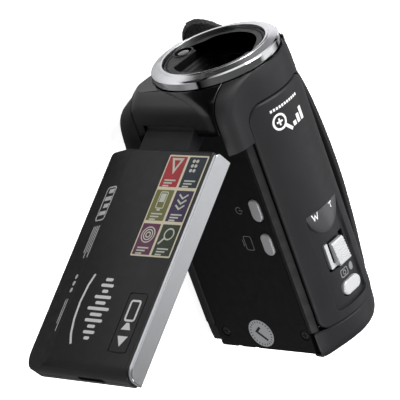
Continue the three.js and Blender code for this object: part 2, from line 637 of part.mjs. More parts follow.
function buildInside() {
  add('main_board', box(9.6, 10.8, 30, 96, -20, 12), BOARD);
  const batteryZ = DOOR.z1 + 0.4;
  const battery = box(BAY.x0 + 0.6, BAY.x1 - 0.6, BAY.y0 + 0.6, BAY.y1 - 2, batteryZ, batteryZ + 12);
  add('battery', battery, finish(0x2a2d33, 0.5));
  add('battery_door', box(DOOR.x0, DOOR.x1, DOOR.y0, DOOR.y1, DOOR.z0, DOOR.z1), MATTE);
  add('battery_contacts', box(-8, 0, 49.6, 52.2, -28, -24), finish(0xc8a24a, 0.3, 1));
  const cardSlot = box(-13.5, 7, 28, 48, -20.2, -17.9);
  add('card_socket', box(-14.5, 8, 29, 49, -21, -17.4).subtract(cardSlot), STEEL);
  add('memory_card', box(-13.2, 6.7, 28.2, 47.6, -20.0, -18.1), finish(0x24324a, 0.5));
  add('speaker', alongX(circle(70, -12, 7), 11.2, 14.8, 16), BLACK);
}

// ---- hand strap ---------------------------------------------------------

/** Middle line of the strap: [x, y, z, lean of its width in degrees]. */
const STRAP_PATH = [
  [-20.9, 1.4, -29.6, 45],
  [-24.6, 7, -27.4, 44],
  [-29.2, 13.5, -24.0, 38],
  [-33.8, 22, -20.0, 27],
  [-36.2, 33, -16.6, 16],
  [-36.6, 49, -13.6, 8],
  [-35.4, 66, -11.2, 4],
  [-33.4, 82, -10, 2],
  [-31.8, 94, -9.6, 0],
  [-30.6, 100.5, -9.5, 0],
  [-28.0, 104.4, -9.5, 0],
  [-25.0, 106.2, -9.5, 0],
];
const STRAP_STEPS = 30;
const TONGUE_R = 30; // how far back the strap's rounded front end keeps widening

function buildStrap() {
  const curve = new THREE.CatmullRomCurve3(STRAP_PATH.map(([x, y, z]) => new THREE.Vector3(x, y, z)));
  const rings = [];
  for (let k = 0; k <= STRAP_STEPS; k++) {
    const t = k / STRAP_STEPS;
    const at = curve.getPoint(t);
    const along = curve.getTangent(t);
    const place = t * (STRAP_PATH.length - 1);
    const low = Math.min(Math.floor(place), STRAP_PATH.length - 2);
    const lean = degrees(mix(STRAP_PATH[low][3], STRAP_PATH[low + 1][3], place - low));
    const wide = new THREE.Vector3(-Math.sin(lean), 0, Math.cos(lean));
    const thick = new THREE.Vector3().crossVectors(wide, along).normalize();
    const fromTip = Math.min(1, (at.y - STRAP_PATH[0][1] + 1.2) / TONGUE_R);
    const half = (STRAP_WIDTH / 2) * Math.sqrt(1 - (1 - fromTip) ** 2);
    const corner = (a, b) =>
      at.clone().addScaledVector(wide, a * half).addScaledVector(thick, b * STRAP_THICK / 2).toArray();
    rings.push([corner(-1, -1), corner(1, -1), corner(1, 1), corner(-1, 1)]);
  }
  add('hand_strap', loft(rings), WEB);

  // Loops that the strap is threaded through, one at each end of the hand side.
  add('strap_loop_rear', box(GRIP_X - 2.6, GRIP_X - GAP, 97.8, 103.4, -20, 1), BLACK);
  add('strap_loop_front', box(GRIP_X - 2.6, GRIP_X - GAP, 11, 17, -23, -7), BLACK);
}

buildLens();
buildFrontEnd();
buildSide();
buildGrip();
buildTop();
buildRear();
buildButtons();
buildScreen();
buildHinge();
buildInside();
buildStrap();
model.updateMatrixWorld(true);
export default model;
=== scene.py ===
"""Looks for a hand-held camcorder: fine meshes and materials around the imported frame.

Pieces are drawn in lens coordinates, in millimetres, as the frame was:
  x  from the lens axis towards the screen side
  y  from the front of the lens ring backwards
  z  up from the lens axis
The screen unit is drawn closed, and SCREEN turns it open about its hinge.
"""
import json
from math import acos, asin, atan2, cos, degrees, exp, pi, radians, sin, sqrt, tan

import bmesh
import bpy
from mathutils import Matrix, Quaternion, Vector, noise


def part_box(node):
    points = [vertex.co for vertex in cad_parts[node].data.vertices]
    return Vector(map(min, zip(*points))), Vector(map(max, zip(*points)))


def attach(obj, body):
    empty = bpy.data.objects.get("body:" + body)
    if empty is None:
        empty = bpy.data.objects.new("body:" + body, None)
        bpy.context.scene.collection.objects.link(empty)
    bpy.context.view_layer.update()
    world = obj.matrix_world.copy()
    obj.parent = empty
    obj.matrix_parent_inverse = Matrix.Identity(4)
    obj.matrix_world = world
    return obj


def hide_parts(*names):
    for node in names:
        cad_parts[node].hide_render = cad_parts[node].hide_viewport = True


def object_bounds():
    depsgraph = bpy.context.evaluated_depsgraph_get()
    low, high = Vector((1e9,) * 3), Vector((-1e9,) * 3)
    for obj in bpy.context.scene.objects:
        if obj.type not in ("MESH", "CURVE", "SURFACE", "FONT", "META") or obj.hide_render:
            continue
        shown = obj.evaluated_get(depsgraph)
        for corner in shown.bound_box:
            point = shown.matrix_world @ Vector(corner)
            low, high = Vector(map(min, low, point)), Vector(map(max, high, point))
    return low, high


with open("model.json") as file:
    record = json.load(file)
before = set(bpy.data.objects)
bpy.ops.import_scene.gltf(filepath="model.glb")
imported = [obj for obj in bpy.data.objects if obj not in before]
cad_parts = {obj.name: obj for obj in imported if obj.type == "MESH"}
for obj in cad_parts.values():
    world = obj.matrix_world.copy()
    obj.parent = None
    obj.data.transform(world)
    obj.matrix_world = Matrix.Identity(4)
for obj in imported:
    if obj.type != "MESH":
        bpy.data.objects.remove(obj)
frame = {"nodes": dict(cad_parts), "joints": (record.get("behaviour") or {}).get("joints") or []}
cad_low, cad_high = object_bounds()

# ---- where things are, from the frame -------------------------------------

MM = 0.001
RING_FRONT = -1.2  # the lip stands this far before y = 0
ring_low, ring_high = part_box("lens_ring")
LENS = Vector(((ring_low.x + ring_high.x) / 2, ring_low.y - RING_FRONT * MM, (ring_low.z + ring_high.z) / 2))
CASE = Matrix.Translation(LENS) @ Matrix.Scale(MM, 4)


def lens_box(node):
    """Lowest and highest corner of a CAD node, in lens coordinates."""
    low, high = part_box(node)
    return (low - LENS) / MM, (high - LENS) / MM


pin_low, pin_high = lens_box("hinge_pin")
HINGE = (pin_low + pin_high) / 2
HINGE.z = 0
swing = next(joint for joint in frame["joints"] if joint["name"] == "screen_swing")
OPEN = radians(-swing["range_deg"][0])  # how far the screen stands open at rest
SCREEN = CASE @ Matrix.Translation(HINGE) @ Matrix.Rotation(-OPEN, 4, "Z") @ Matrix.Translation(-HINGE)

# ---- sizes, in millimetres -------------------------------------------------

WALL = 1.6
GAP = 0.3
BASE_Z = -LENS.z / MM
CROWN_X, CROWN_Z, CROWN_R = 0.4, 0.3, 23.6
SIDE_X = 17.2
GRIP_X = CROWN_X - CROWN_R
CAP_X = 25.8
FRONT_Y = 3.0
PLATE_Y = 4.0
SPLIT_Y = 25.0
REAR_Y = 97.0
BACK_Y = 104.4
SIDE_END_Y = 104.9
RING_R = 22.0
LIP_R = 18.4
OPENING_R = 14.3
OPENING_CHORD_Z = -9.3
LAMP_X, LAMP_Z, LAMP_R = 0.5, -13.6, 3.0
TOP_HALF = 15.0
TOP_R = CROWN_R + 0.6
TOP_Y0 = 13.5
HINGE_Z0, HINGE_Z1 = -16.4, 5.8
TWIST_Z = -4.9
CREASE_Z = -16.6
SCREEN_X0, SCREEN_X1 = 18.2, 25.8
SCREEN_Y0, SCREEN_Y1 = 26.0, 105.9
SCREEN_Z0, SCREEN_Z1 = -30.4, 20.6
SCREEN_SPLIT = 20.6
COVER_FOOT = SCREEN_X1 - 4.6
SCREEN_FOOT_R = 7.5
COVER_TOP = SCREEN_Z1 - 1.7


# ---- outlines ---------------------------------------------------------------


def arc(a, b, r, start, end, steps):
    """Points along an arc, in degrees, both ends included."""
    turns = [radians(start + (end - start) * k / steps) for k in range(steps + 1)]
    return [(a + r * cos(t), b + r * sin(t)) for t in turns]


def circle(a, b, r, steps=64):
    return arc(a, b, r, 0, 360, steps)[:-1]


def round_rect(a0, a1, b0, b1, r, steps=8):
    return [
        *arc(a1 - r, b0 + r, r, -90, 0, steps),
        *arc(a1 - r, b1 - r, r, 0, 90, steps),
        *arc(a0 + r, b1 - r, r, 90, 180, steps),
        *arc(a0 + r, b0 + r, r, 180, 270, steps),
    ]


def stadium(a, b, long, short, steps=14):
    r = short / 2 - 0.01
    return round_rect(a - long / 2, a + long / 2, b - short / 2, b + short / 2, r, steps)


def fillet(corners, steps=5):
    """Closed outline through corners (a, b) or (a, b, radius), each rounded to its radius."""
    outline = []
    for k, corner in enumerate(corners):
        here = Vector(corner[:2])
        r = corner[2] if len(corner) > 2 else 0
        if not r:
            outline.append(tuple(here))
            continue
        back = (Vector(corners[k - 1][:2]) - here).normalized()
        ahead = (Vector(corners[(k + 1) % len(corners)][:2]) - here).normalized()
        half = back.angle(ahead) / 2
        centre = here + (back + ahead).normalized() * r / sin(half)
        start = here + back * r / tan(half) - centre
        end = here + ahead * r / tan(half) - centre
        first = atan2(start.y, start.x)
        turn = (atan2(end.y, end.x) - first + pi) % (2 * pi) - pi
        outline += arc(centre.x, centre.y, r, degrees(first), degrees(first + turn), steps)
    return outline


def leftward(path, k, closed):
    """The mitred left-hand normal of a path at point k."""
    count = len(path)
    before = k - 1 if closed or k > 0 else 0
    after = (k + 1) % count if closed or k < count - 1 else k
    sides = []
    for a, b in ((before, k), (k, after)):
        step = Vector(path[b]) - Vector(path[a])
        if step.length > 1e-6:
            sides.append(Vector((-step.y, step.x)).normalized())
    total = sum(sides, Vector((0, 0)))
    return total * 2 / max(total.length_squared, 0.4) if len(sides) > 1 else total


def shifted(path, distance, closed=True):
    """A path moved to its left, which is inwards for a counter-clockwise outline."""
    moved = [Vector(p) + leftward(path, k, closed) * distance for k, p in enumerate(path)]
    return [tuple(p) for p in moved]


def strip(path, wall, edge=0.3, steps=3):
    """Outline of a wall that follows an outer path, with its two outer corners rounded."""
    inner = shifted(path, wall, closed=False)
    outline = []
    for tip, neighbour, starts in ((path[0], path[1], True), (path[-1], path[-2], False)):
        out = (Vector(tip) - Vector(neighbour)).normalized()
        inward = Vector((out.y, -out.x)) if starts else Vector((-out.y, out.x))
        centre = Vector(tip) - out * edge + inward * edge
        turns = [pi / 2 * k / steps for k in range(steps + 1)]
        corner = [tuple(centre - inward * edge * cos(t) + out * edge * sin(t)) for t in turns]
        outline += corner[::-1] + path[1:-1] if starts else corner
    return outline + inner[::-1]


# ---- solids -----------------------------------------------------------------


def skin(rows, ring=False):
    """Mesh data through rows of equal point counts, with flat ends unless they close in a ring."""
    n = len(rows[0])
    faces = []
    for k in range(len(rows) if ring else len(rows) - 1):
        a = k * n
        b = (k + 1) % len(rows) * n
        faces += [(a + i, a + (i + 1) % n, b + (i + 1) % n, b + i) for i in range(n)]
    if not ring:
        faces += [tuple(range(n)), tuple(range((len(rows) - 1) * n, len(rows) * n))]
    return [p for row in rows for p in row], faces


def together(*parts):
    verts, faces = [], []
    for part_verts, part_faces in parts:
        faces += [tuple(len(verts) + i for i in face) for face in part_faces]
        verts += part_verts
    return verts, faces


PLACES = {
    "x": lambda a, b, depth: (depth, a, b),
    "y": lambda a, b, depth: (a, depth, b),
    "z": lambda a, b, depth: (a, b, depth),
}


def prism(outline, axis, low, high, edge=0.0, steps=4):
    """An outline made solid along an axis. Edge is the rounding of both ends, or (low, high)."""
    low_edge, high_edge = edge if isinstance(edge, tuple) else (edge, edge)
    turns = [pi / 2 * k / steps for k in range(steps + 1)]
    ends = [(low + low_edge * (1 - cos(t)), low_edge * (1 - sin(t))) for t in turns]
    if not low_edge:
        ends = [(low, 0)]
    tops = [(high - high_edge * (1 - cos(t)), high_edge * (1 - sin(t))) for t in turns]
    ends += tops[::-1] if high_edge else [(high, 0)]
    rows = [[PLACES[axis](a, b, depth) for a, b in shifted(outline, inset)] for depth, inset in ends]
    return skin(rows)


def box(a0, a1, b0, b1, c0, c1):
    return prism([(a0, b0), (a1, b0), (a1, b1), (a0, b1)], "z", c0, c1)


def lathe(profile, x=0.0, z=0.0, steps=96):
    """Turned about the lens direction from a closed profile of (radius, y)."""
    turns = [2 * pi * k / steps for k in range(steps)]
    return skin([[(x + r * cos(t), y, z + r * sin(t)) for r, y in profile] for t in turns], ring=True)


def solid(data):
    """A closed mesh object, its faces pointing out, still in millimetres."""
    mesh = bpy.data.meshes.new("solid")
    mesh.from_pydata(data[0], [], data[1])
    shape = bmesh.new()
    shape.from_mesh(mesh)
    bmesh.ops.remove_doubles(shape, verts=shape.verts, dist=1e-4)
    bmesh.ops.dissolve_degenerate(shape, edges=shape.edges, dist=1e-5)
    bmesh.ops.recalc_face_normals(shape, faces=shape.faces)
    shape.to_mesh(mesh)
    shape.free()
    made = bpy.data.objects.new("solid", mesh)
    bpy.context.scene.collection.objects.link(made)
    return made


def settle(obj):
    """Makes an object's modifiers part of its mesh."""
    graph = bpy.context.evaluated_depsgraph_get()
    mesh = bpy.data.meshes.new_from_object(obj.evaluated_get(graph))
    before = obj.data
    obj.modifiers.clear()
    obj.data = mesh
    bpy.data.meshes.remove(before)
    return obj


def combine(obj, operation, tools):
    others = [solid(tool) if isinstance(tool, tuple) else tool for tool in tools]
    for other in others:
        step = obj.modifiers.new("combine", "BOOLEAN")
        step.operation = operation
        step.solver = "EXACT"
        step.object = other
    settle(obj)
    for other in others:
        mesh = other.data
        bpy.data.objects.remove(other)
        bpy.data.meshes.remove(mesh)
    return obj


def cut(obj, *tools):
    return combine(obj, "DIFFERENCE", tools)


def join(obj, *tools):
    return combine(obj, "UNION", tools)


def common(obj, *tools):
    return combine(obj, "INTERSECT", tools)


def soften(obj, width, angle=35, segments=3):
    """Rounds every edge sharper than the angle."""
    step = obj.modifiers.new("edges", "BEVEL")
    step.width = width
    step.segments = segments
    step.limit_method = "ANGLE"
    step.angle_limit = radians(angle)
    step.use_clamp_overlap = False
    return settle(obj)


def biggest(obj):
    """Keeps only the largest connected part."""
    shape = bmesh.new()
    shape.from_mesh(obj.data)
    left = set(shape.verts)
    islands = []
    while left:
        front = [left.pop()]
        island = set(front)
        while front:
            near = {edge.other_vert(v) for v in front for edge in v.link_edges} - island
            island |= near
            front = list(near)
        left -= island
        islands.append(island)
    keep = max(islands, key=len)
    bmesh.ops.delete(shape, geom=[v for v in shape.verts if v not in keep], context="VERTS")
    shape.to_mesh(obj.data)
    shape.free()
    return obj


# ---- materials ----------------------------------------------------------------


def tint(code):
    """A colour written as six hexadecimal digits, as linear RGBA."""
    parts = [int(code[k:k + 2], 16) / 255 for k in (0, 2, 4)]
    return (*[p / 12.92 if p <= 0.04045 else ((p + 0.055) / 1.055) ** 2.4 for p in parts], 1.0)


def scaled(colour, factor):
    return (*[min(1.0, part * factor) for part in colour[:3]], 1.0)


def new_material(name):
    material = bpy.data.materials.new(name)
    material.use_nodes = True
    return material, material.node_tree, material.node_tree.nodes["Principled BSDF"]


def add(tree, kind, inputs=None, **settings):
    """A shader node; an input given as a socket is linked, any other value is set."""
    made = tree.nodes.new("ShaderNode" + kind)
    for key, value in settings.items():
        setattr(made, key, value)
    for key, value in (inputs or {}).items():
        if isinstance(value, bpy.types.NodeSocket):
            tree.links.new(value, made.inputs[key])
        else:
            made.inputs[key].default_value = value
    return made


def grains(tree, size, detail=2.0, stretch=(1, 1, 1)):
    """Noise whose lumps are about `size` millimetres, as a 0 to 1 factor."""
    place = add(tree, "TexCoord").outputs["Object"]
    scale = [1 / (size * MM * part) for part in stretch]
    spread = add(tree, "Mapping", {"Vector": place, "Scale": scale})
    return add(tree, "TexNoise", {"Vector": spread.outputs[0], "Scale": 1.0, "Detail": detail}).outputs[0]


def ranged(tree, value, low, high, from_low=0.3, from_high=0.7):
    inputs = {"Value": value, "From Min": from_low, "From Max": from_high, "To Min": low, "To Max": high}
    return add(tree, "MapRange", inputs).outputs[0]


def mixed(tree, factor, first, second):
    return add(tree, "Mix", {0: factor, 6: first, 7: second}, data_type="RGBA").outputs[2]


def edge_wear(tree, radius):
    """About 1 along sharp edges and 0 on faces, broken up by noise."""
    rounded = add(tree, "Bevel", {"Radius": radius * MM}, samples=4).outputs[0]
    flat = add(tree, "NewGeometry").outputs["Normal"]
    align = add(tree, "VectorMath", {0: rounded, 1: flat}, operation="DOT_PRODUCT").outputs["Value"]
    sharp = ranged(tree, align, 1.0, 0.0, 0.8, 0.99)
    broken = ranged(tree, grains(tree, 1.1, 4.0), 0.15, 1.0)
    return add(tree, "Math", {0: sharp, 1: broken}, operation="MULTIPLY").outputs[0]


def finish(name, code, rough, metal=0.0, grain=0.25, depth=0.006, mottle=0.12, spread=0.06,
           wear=0.0, coat=0.0, stretch=(1, 1, 1), specular=0.5):
    """A moulded or metal surface: fine grain, drifting colour and gloss, and worn edges."""
    material, tree, shader = new_material(name)
    colour = tint(code)
    drift = grains(tree, 9.0, 4.0)
    shade = mixed(tree, drift, scaled(colour, 1 - mottle), scaled(colour, 1 + mottle))
    if wear:
        shade = mixed(tree, edge_wear(tree, 0.35), shade, scaled(colour, 1 + wear))
    tree.links.new(shade, shader.inputs["Base Color"])
    handled = ranged(tree, grains(tree, 3.5, 5.0), max(rough - spread, 0.02), rough + spread)
    tree.links.new(handled, shader.inputs["Roughness"])
    height = grains(tree, grain, 2.0, stretch)
    bump = add(tree, "Bump", {"Height": height, "Distance": depth * MM, "Strength": 1.0})
    tree.links.new(bump.outputs[0], shader.inputs["Normal"])
    shader.inputs["Metallic"].default_value = metal
    shader.inputs["Specular IOR Level"].default_value = specular
    if coat:
        shader.inputs["Coat Weight"].default_value = coat
        shader.inputs["Coat Roughness"].default_value = 0.05
    return material


def turned_metal(name, code, rough, lathe_mark=0.05, depth=0.0015):
    """Bright metal with fine marks running round the lens axis, and a polished outer wall."""
    material, tree, shader = new_material(name)
    place = add(tree, "TexCoord").outputs["Object"]
    centred = add(tree, "VectorMath", {0: place, 1: LENS}, operation="SUBTRACT").outputs[0]
    flat = add(tree, "VectorMath", {0: centred, 1: (1, 0, 1)}, operation="MULTIPLY").outputs[0]
    radius = add(tree, "VectorMath", {0: flat}, operation="LENGTH").outputs["Value"]
    along = add(tree, "SeparateXYZ", {0: centred}).outputs["Y"]
    spot = add(tree, "CombineXYZ", {"X": radius, "Y": along}).outputs[0]
    inputs = {"Vector": spot, "Scale": 1 / (lathe_mark * MM), "Detail": 3.0}
    marks = add(tree, "TexNoise", inputs).outputs[0]
    bump = add(tree, "Bump", {"Height": marks, "Distance": depth * MM, "Strength": 1.0})
    tree.links.new(bump.outputs[0], shader.inputs["Normal"])
    colour = tint(code)
    shade = mixed(tree, grains(tree, 6.0, 4.0), scaled(colour, 0.92), scaled(colour, 1.04))
    tree.links.new(shade, shader.inputs["Base Color"])
    smear = ranged(tree, grains(tree, 2.5, 5.0), rough * 0.8, rough * 1.3)
    polished = ranged(tree, radius, 1.0, 0.3, (RING_R - 0.5) * MM, (RING_R - 0.3) * MM)
    gloss = add(tree, "Math", {0: smear, 1: polished}, operation="MULTIPLY").outputs[0]
    tree.links.new(gloss, shader.inputs["Roughness"])
    shader.inputs["Metallic"].default_value = 1.0
    shader.inputs["Anisotropic"].default_value = 0.55
    round_axis = add(tree, "Tangent", direction_type="RADIAL", axis="Y").outputs[0]
    tree.links.new(round_axis, shader.inputs["Tangent"])
    return material


def webbing(name, code):
    """Woven strap: ribs across it and yarns along it, from its own UVs in millimetres."""
    material, tree, shader = new_material(name)
    place = add(tree, "UVMap").outputs[0]
    ribs = add(tree, "TexWave", {"Vector": place, "Scale": 0.42, "Distortion": 0.6, "Detail": 1.0},
               bands_direction="X", wave_profile="SIN").outputs[1]
    yarns = add(tree, "TexWave", {"Vector": place, "Scale": 0.3, "Distortion": 0.4, "Detail": 1.0},
                bands_direction="Y", wave_profile="SIN").outputs[1]
    weave = add(tree, "Math", {0: ribs, 1: yarns}, operation="MULTIPLY").outputs[0]
    fuzz = grains(tree, 0.22, 4.0)
    height = add(tree, "Math", {0: weave, 1: fuzz}, operation="ADD").outputs[0]
    bump = add(tree, "Bump", {"Height": height, "Distance": 0.12 * MM, "Strength": 0.9})
    tree.links.new(bump.outputs[0], shader.inputs["Normal"])
    colour = tint(code)
    shade = mixed(tree, weave, scaled(colour, 0.55), scaled(colour, 1.5))
    faded = mixed(tree, ranged(tree, grains(tree, 7.0, 4.0), 0.0, 0.3), shade, scaled(colour, 2.2))
    tree.links.new(faded, shader.inputs["Base Color"])
    shader.inputs["Roughness"].default_value = 0.92
    shader.inputs["Sheen Weight"].default_value = 0.25
    shader.inputs["Sheen Roughness"].default_value = 0.5
    return material


def circuit(name, code):
    """Printed board: solder mask with tracks and small pads."""
    material, tree, shader = new_material(name)
    place = add(tree, "TexCoord").outputs["Object"]
    cells = add(tree, "Mapping", {"Vector": place, "Scale": (900, 900, 900)}).outputs[0]
    voronoi = add(tree, "TexVoronoi", {"Vector": cells, "Scale": 1.0}, distance="CHEBYCHEV")
    tracks = voronoi.outputs["Distance"]
    line = ranged(tree, tracks, 0.0, 1.0, 0.36, 0.4)
    pads = ranged(tree, tracks, 1.0, 0.0, 0.05, 0.09)
    colour = tint(code)
    shade = mixed(tree, line, colour, scaled(colour, 1.9))
    shade = mixed(tree, pads, shade, tint("c9b36a"))
    tree.links.new(shade, shader.inputs["Base Color"])
    tree.links.new(ranged(tree, grains(tree, 2.0), 0.3, 0.5), shader.inputs["Roughness"])
    bump = add(tree, "Bump", {"Height": line, "Distance": 0.03 * MM, "Strength": 1.0})
    tree.links.new(bump.outputs[0], shader.inputs["Normal"])
    return material


def coated_glass(name, code, sheen_code, rough=0.03):
    """Dark coated glass whose colour is painted towards the coating's colour at a slant, a painted reflection
    tint, over a real coat tinted the same.
    """
    material, tree, shader = new_material(name)
    # painted reflection: the base colour turns to the coating's colour at a slant
    facing = add(tree, "LayerWeight", {"Blend": 0.45}).outputs["Facing"]
    shade = mixed(tree, facing, tint(code), tint(sheen_code))
    tree.links.new(shade, shader.inputs["Base Color"])
    tree.links.new(ranged(tree, grains(tree, 4.0, 4.0), rough, rough + 0.03), shader.inputs["Roughness"])
    shader.inputs["Specular IOR Level"].default_value = 0.8
    shader.inputs["Coat Weight"].default_value = 1.0
    shader.inputs["Coat Roughness"].default_value = 0.02
    shader.inputs["Coat Tint"].default_value = tint(sheen_code)
    return material


SATIN = finish("satin_shell", "1f1f21", 0.48, grain=0.22, depth=0.005, wear=0.7, specular=0.38)
COVER = finish("satin_cover", "1d1d1f", 0.44, grain=0.2, depth=0.004, wear=0.7, specular=0.38)
SIDE = finish("side_plastic", "0f0f11", 0.6, grain=0.35, depth=0.009, wear=0.5, specular=0.2)
GLOSS = finish("gloss_front", "040405", 0.2, grain=1.2, depth=0.0008, spread=0.04, coat=0.2)
DARK = finish("inner_plastic", "111112", 0.34, grain=0.3, depth=0.004)
RIM = finish("plate_plastic", "0d0d0e", 0.4, grain=0.25, depth=0.006, wear=0.8, specular=0.3)
HINGE_GREY = finish("hinge_plastic", "1f2022", 0.5, grain=0.25, depth=0.006, wear=0.6, specular=0.25)
# a lighter copy of the inner plastic: painted light on the lens mask inside the opening
MASK_PAINTED_LIGHT = finish("mask_plastic_painted_light", "39393b", 0.34, grain=0.3, depth=0.004)
# glossier than the shell, a real finish, and lighter in tone: a painted highlight for the lit crescent of the
# thumb rest
THUMB_PAINTED_HIGHLIGHT = finish("thumb_rest", "3c3c3f", 0.34, grain=0.4, depth=0.001, coat=0.3)
CHROME = turned_metal("chrome", "e6e7e9", 0.16)
SILVER = finish("silver_key", "bdbec0", 0.36, metal=0.25, grain=0.15, depth=0.003, mottle=0.05, wear=0.15)
STEEL = finish("steel", "a4a6a9", 0.3, metal=1.0, grain=0.5, depth=0.002, stretch=(1, 8, 1))
WHITE_INK = finish("white_ink", "dcdddd", 0.5, grain=0.15, depth=0.002, mottle=0.04)
GREY_INK = finish("grey_ink", "77787a", 0.5, grain=0.15, depth=0.002, mottle=0.08)
RUBBER = finish("rubber", "101011", 0.75, grain=0.3, depth=0.012)
SCREEN_GLASS = coated_glass("display_glass", "050608", "101722")
LENS_GLASS = coated_glass("lens_coating", "05060a", "2a2148")
LAMP_GLASS = coated_glass("lamp_cover", "5a5c58", "a8aca8", 0.1)
STRAP = webbing("strap_webbing", "0d0d0e")
RED = finish("red_lens", "7a1512", 0.2, grain=0.5, depth=0.001, coat=0.5)
TRIM = finish("silver_trim", "c6c8cb", 0.16, metal=0.9, spread=0.03, grain=0.12, depth=0.002,
              mottle=0.05, stretch=(1, 10, 1))
PAPER = finish("sticker_stock", "d8cfb4", 0.35, grain=0.5, depth=0.002, mottle=0.06)
ICON = finish("icon_ink", "c4c6b8", 0.4, grain=0.3, depth=0.001, mottle=0.25)
FOIL = finish("seal_foil", "c4c6c7", 0.4, metal=0.15, grain=0.4, depth=0.003)
THREAD = finish("thread", "26262a", 0.8, grain=0.1, depth=0.02)

# ---- placing pieces ---------------------------------------------------------


def dress(name, obj, body, look, nodes=(), place=CASE, sharp=32):
    """Names a finished solid, moves it into the row frame and ties it to its body."""
    obj.name = name
    obj.data.name = name
    obj.data.transform(place)
    shape = bmesh.new()
    shape.from_mesh(obj.data)
    for face in shape.faces:
        face.smooth = True
    for edge in shape.edges:
        edge.smooth = len(edge.link_faces) == 2 and edge.calc_face_angle(0) < radians(sharp)
    shape.to_mesh(obj.data)
    shape.free()
    obj.data.materials.clear()
    obj.data.materials.append(look)
    normals = obj.modifiers.new("normals", "WEIGHTED_NORMAL")
    normals.keep_sharp = True
    normals.weight = 60
    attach(obj, body)
    if nodes:
        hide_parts(*nodes)
    return obj


# ---- sections of the case ----------------------------------------------------


def crown_angle(x):
    return degrees(acos((x - CROWN_X) / CROWN_R))


def body_section(inset=0.0, left=SIDE_X):
    """The whole cross-section of the body, counter-clockwise in (x, z)."""
    r = CROWN_R - inset
    start = degrees(acos((left - inset - CROWN_X) / r))
    return [
        *arc(left - 6, BASE_Z + 6, 6 - inset, 270, 360, 12),
        *arc(CROWN_X, CROWN_Z, r, start, 180, 60),
        *arc(GRIP_X + 8, BASE_Z + 8, 8 - inset, 180, 270, 14),
    ]


def blend(a, b, t):
    return a + (b - a) * t


NECK_R = RING_R + 0.7
CHIN_R = 9.5
SHOULDER_X, SHOULDER_Z, SHOULDER_R = 17.8, 11.6, 8.0
SHOULDER_RUN = Vector((SHOULDER_X - CROWN_X, SHOULDER_Z - CROWN_Z))
SHOULDER_TURN = acos((CROWN_R - SHOULDER_R) / SHOULDER_RUN.length)
TOP_TANGENT = degrees(atan2(SHOULDER_RUN.y, SHOULDER_RUN.x) + SHOULDER_TURN)
SAG = 0.6  # the hollow between the shoulder and the round top


def front_section(edge, flare, rise, inset=0.0):
    """Cross-section of the front end.

    flare runs from round (0) to full width (1), and rise lifts the underside.
    """
    low = BASE_Z + rise
    shoulder = [blend(0, SHOULDER_X, flare), blend(0, SHOULDER_Z, flare)]
    crown = [blend(0, CROWN_X, flare), blend(0, CROWN_Z, flare)]
    shoulder_r = blend(NECK_R, SHOULDER_R, flare) - inset
    crown_r = blend(NECK_R, CROWN_R, flare) - inset
    outer = arc(*shoulder, shoulder_r, blend(-24, 0, flare), TOP_TANGENT, 22)
    round_top = arc(*crown, crown_r, TOP_TANGENT, 180, 40)
    start, end = Vector(outer[-1]), Vector(round_top[0])
    inward = Vector((-cos(radians(TOP_TANGENT)), -sin(radians(TOP_TANGENT))))
    run = []
    for k in range(1, 12):
        u = k / 12
        # 6.75 makes the deepest point one sag deep
        run.append(tuple(start.lerp(end, u) + inward * SAG * flare ** 2 * 6.75 * u * (1 - u) ** 2))
    return [
        *arc(CAP_X - CHIN_R, low + CHIN_R, CHIN_R - inset - edge, 270, 360, 20),
        *outer, *run, *round_top,
        *arc(GRIP_X + 10, low + 10, 10 - inset - edge, 180, 270, 14),
    ]


# y, rounding of the lower corners, flare, rise of the underside
FRONT_ROWS = [
    (3, 3.4, 0, 10.4), (3.6, 2.3, 0.2, 10.9), (4.8, 1.1, 0.45, 10.9), (6.6, 0.3, 0.7, 9.9), (9, 0, 0.88, 6.9),
    (11, 0, 0.96, 4.4), (14, 0, 1, 2.1), (18, 0, 1, 0.8), (25, 0, 1, 0),
]
# y, how far the outline is drawn in; the lip rounds the edge that meets the body
REAR_LIP = [(97, 0.75), (97.08, 0.4), (97.3, 0.14), (97.7, 0.03)]
REAR_ROWS = [(97, 0), (101, 0.15), (103.6, 0.45), (105.2, 1.05), (106, 2.05), (106.6, 3.3), (107.1, 5.4)]


def catmull_rom(a, b, c, d, t):
    line = 2 * b + (c - a) * t
    curve = (2 * a - 5 * b + 4 * c - d) * t * t
    twist = (3 * b - a - 3 * c + d) * t ** 3
    return 0.5 * (line + curve + twist)


def smooth_rows(rows, steps):
    """Rows of numbers with Catmull-Rom rows between them."""
    out = []
    for k in range(len(rows) - 1):
        p0, p1, p2, p3 = (rows[max(0, min(len(rows) - 1, k + j))] for j in (-1, 0, 1, 2))
        for i in range(steps):
            out.append([catmull_rom(*near, i / steps) for near in zip(p0, p1, p2, p3)])
    return out + [list(rows[-1])]


def front_block(inset, start, end):
    rows = []
    for y, edge, flare, rise in smooth_rows(FRONT_ROWS, 3):
        at = blend(start, end, (y - FRONT_Y) / (SPLIT_Y - FRONT_Y))
        section = front_section(max(edge, 0), min(flare, 1), max(rise, 0), inset)
        rows.append([(a, at, b) for a, b in section])
    return skin(rows)


def rear_section(y, inset):
    """Cross-section of the rounded back end, which stays pointed above the flat side."""
    corner = 13  # the outline's point where the flat side meets the round top
    full, drawn_in = body_section(0, SIDE_X - 0.2), body_section(inset, SIDE_X - 0.2)
    points = []
    for k, (p, q) in enumerate(zip(full, drawn_in)):
        share = 1 - 0.7 * exp(-((k - corner) / 8) ** 2)
        points.append((blend(p[0], q[0], share), y, blend(p[1], q[1], share)))
    return points


# ---- lens and lamp -------------------------------------------------------------


def opening(r, chord):
    """The D-shaped lens opening, with soft corners."""
    corner = degrees(asin(-chord / r))
    return fillet([
        *arc(0, 0, r, -corner + 8, 180 + corner - 8, 72),
        (-r * cos(radians(corner)), chord, 0.9),
        (r * cos(radians(corner)), chord, 0.9),
    ])


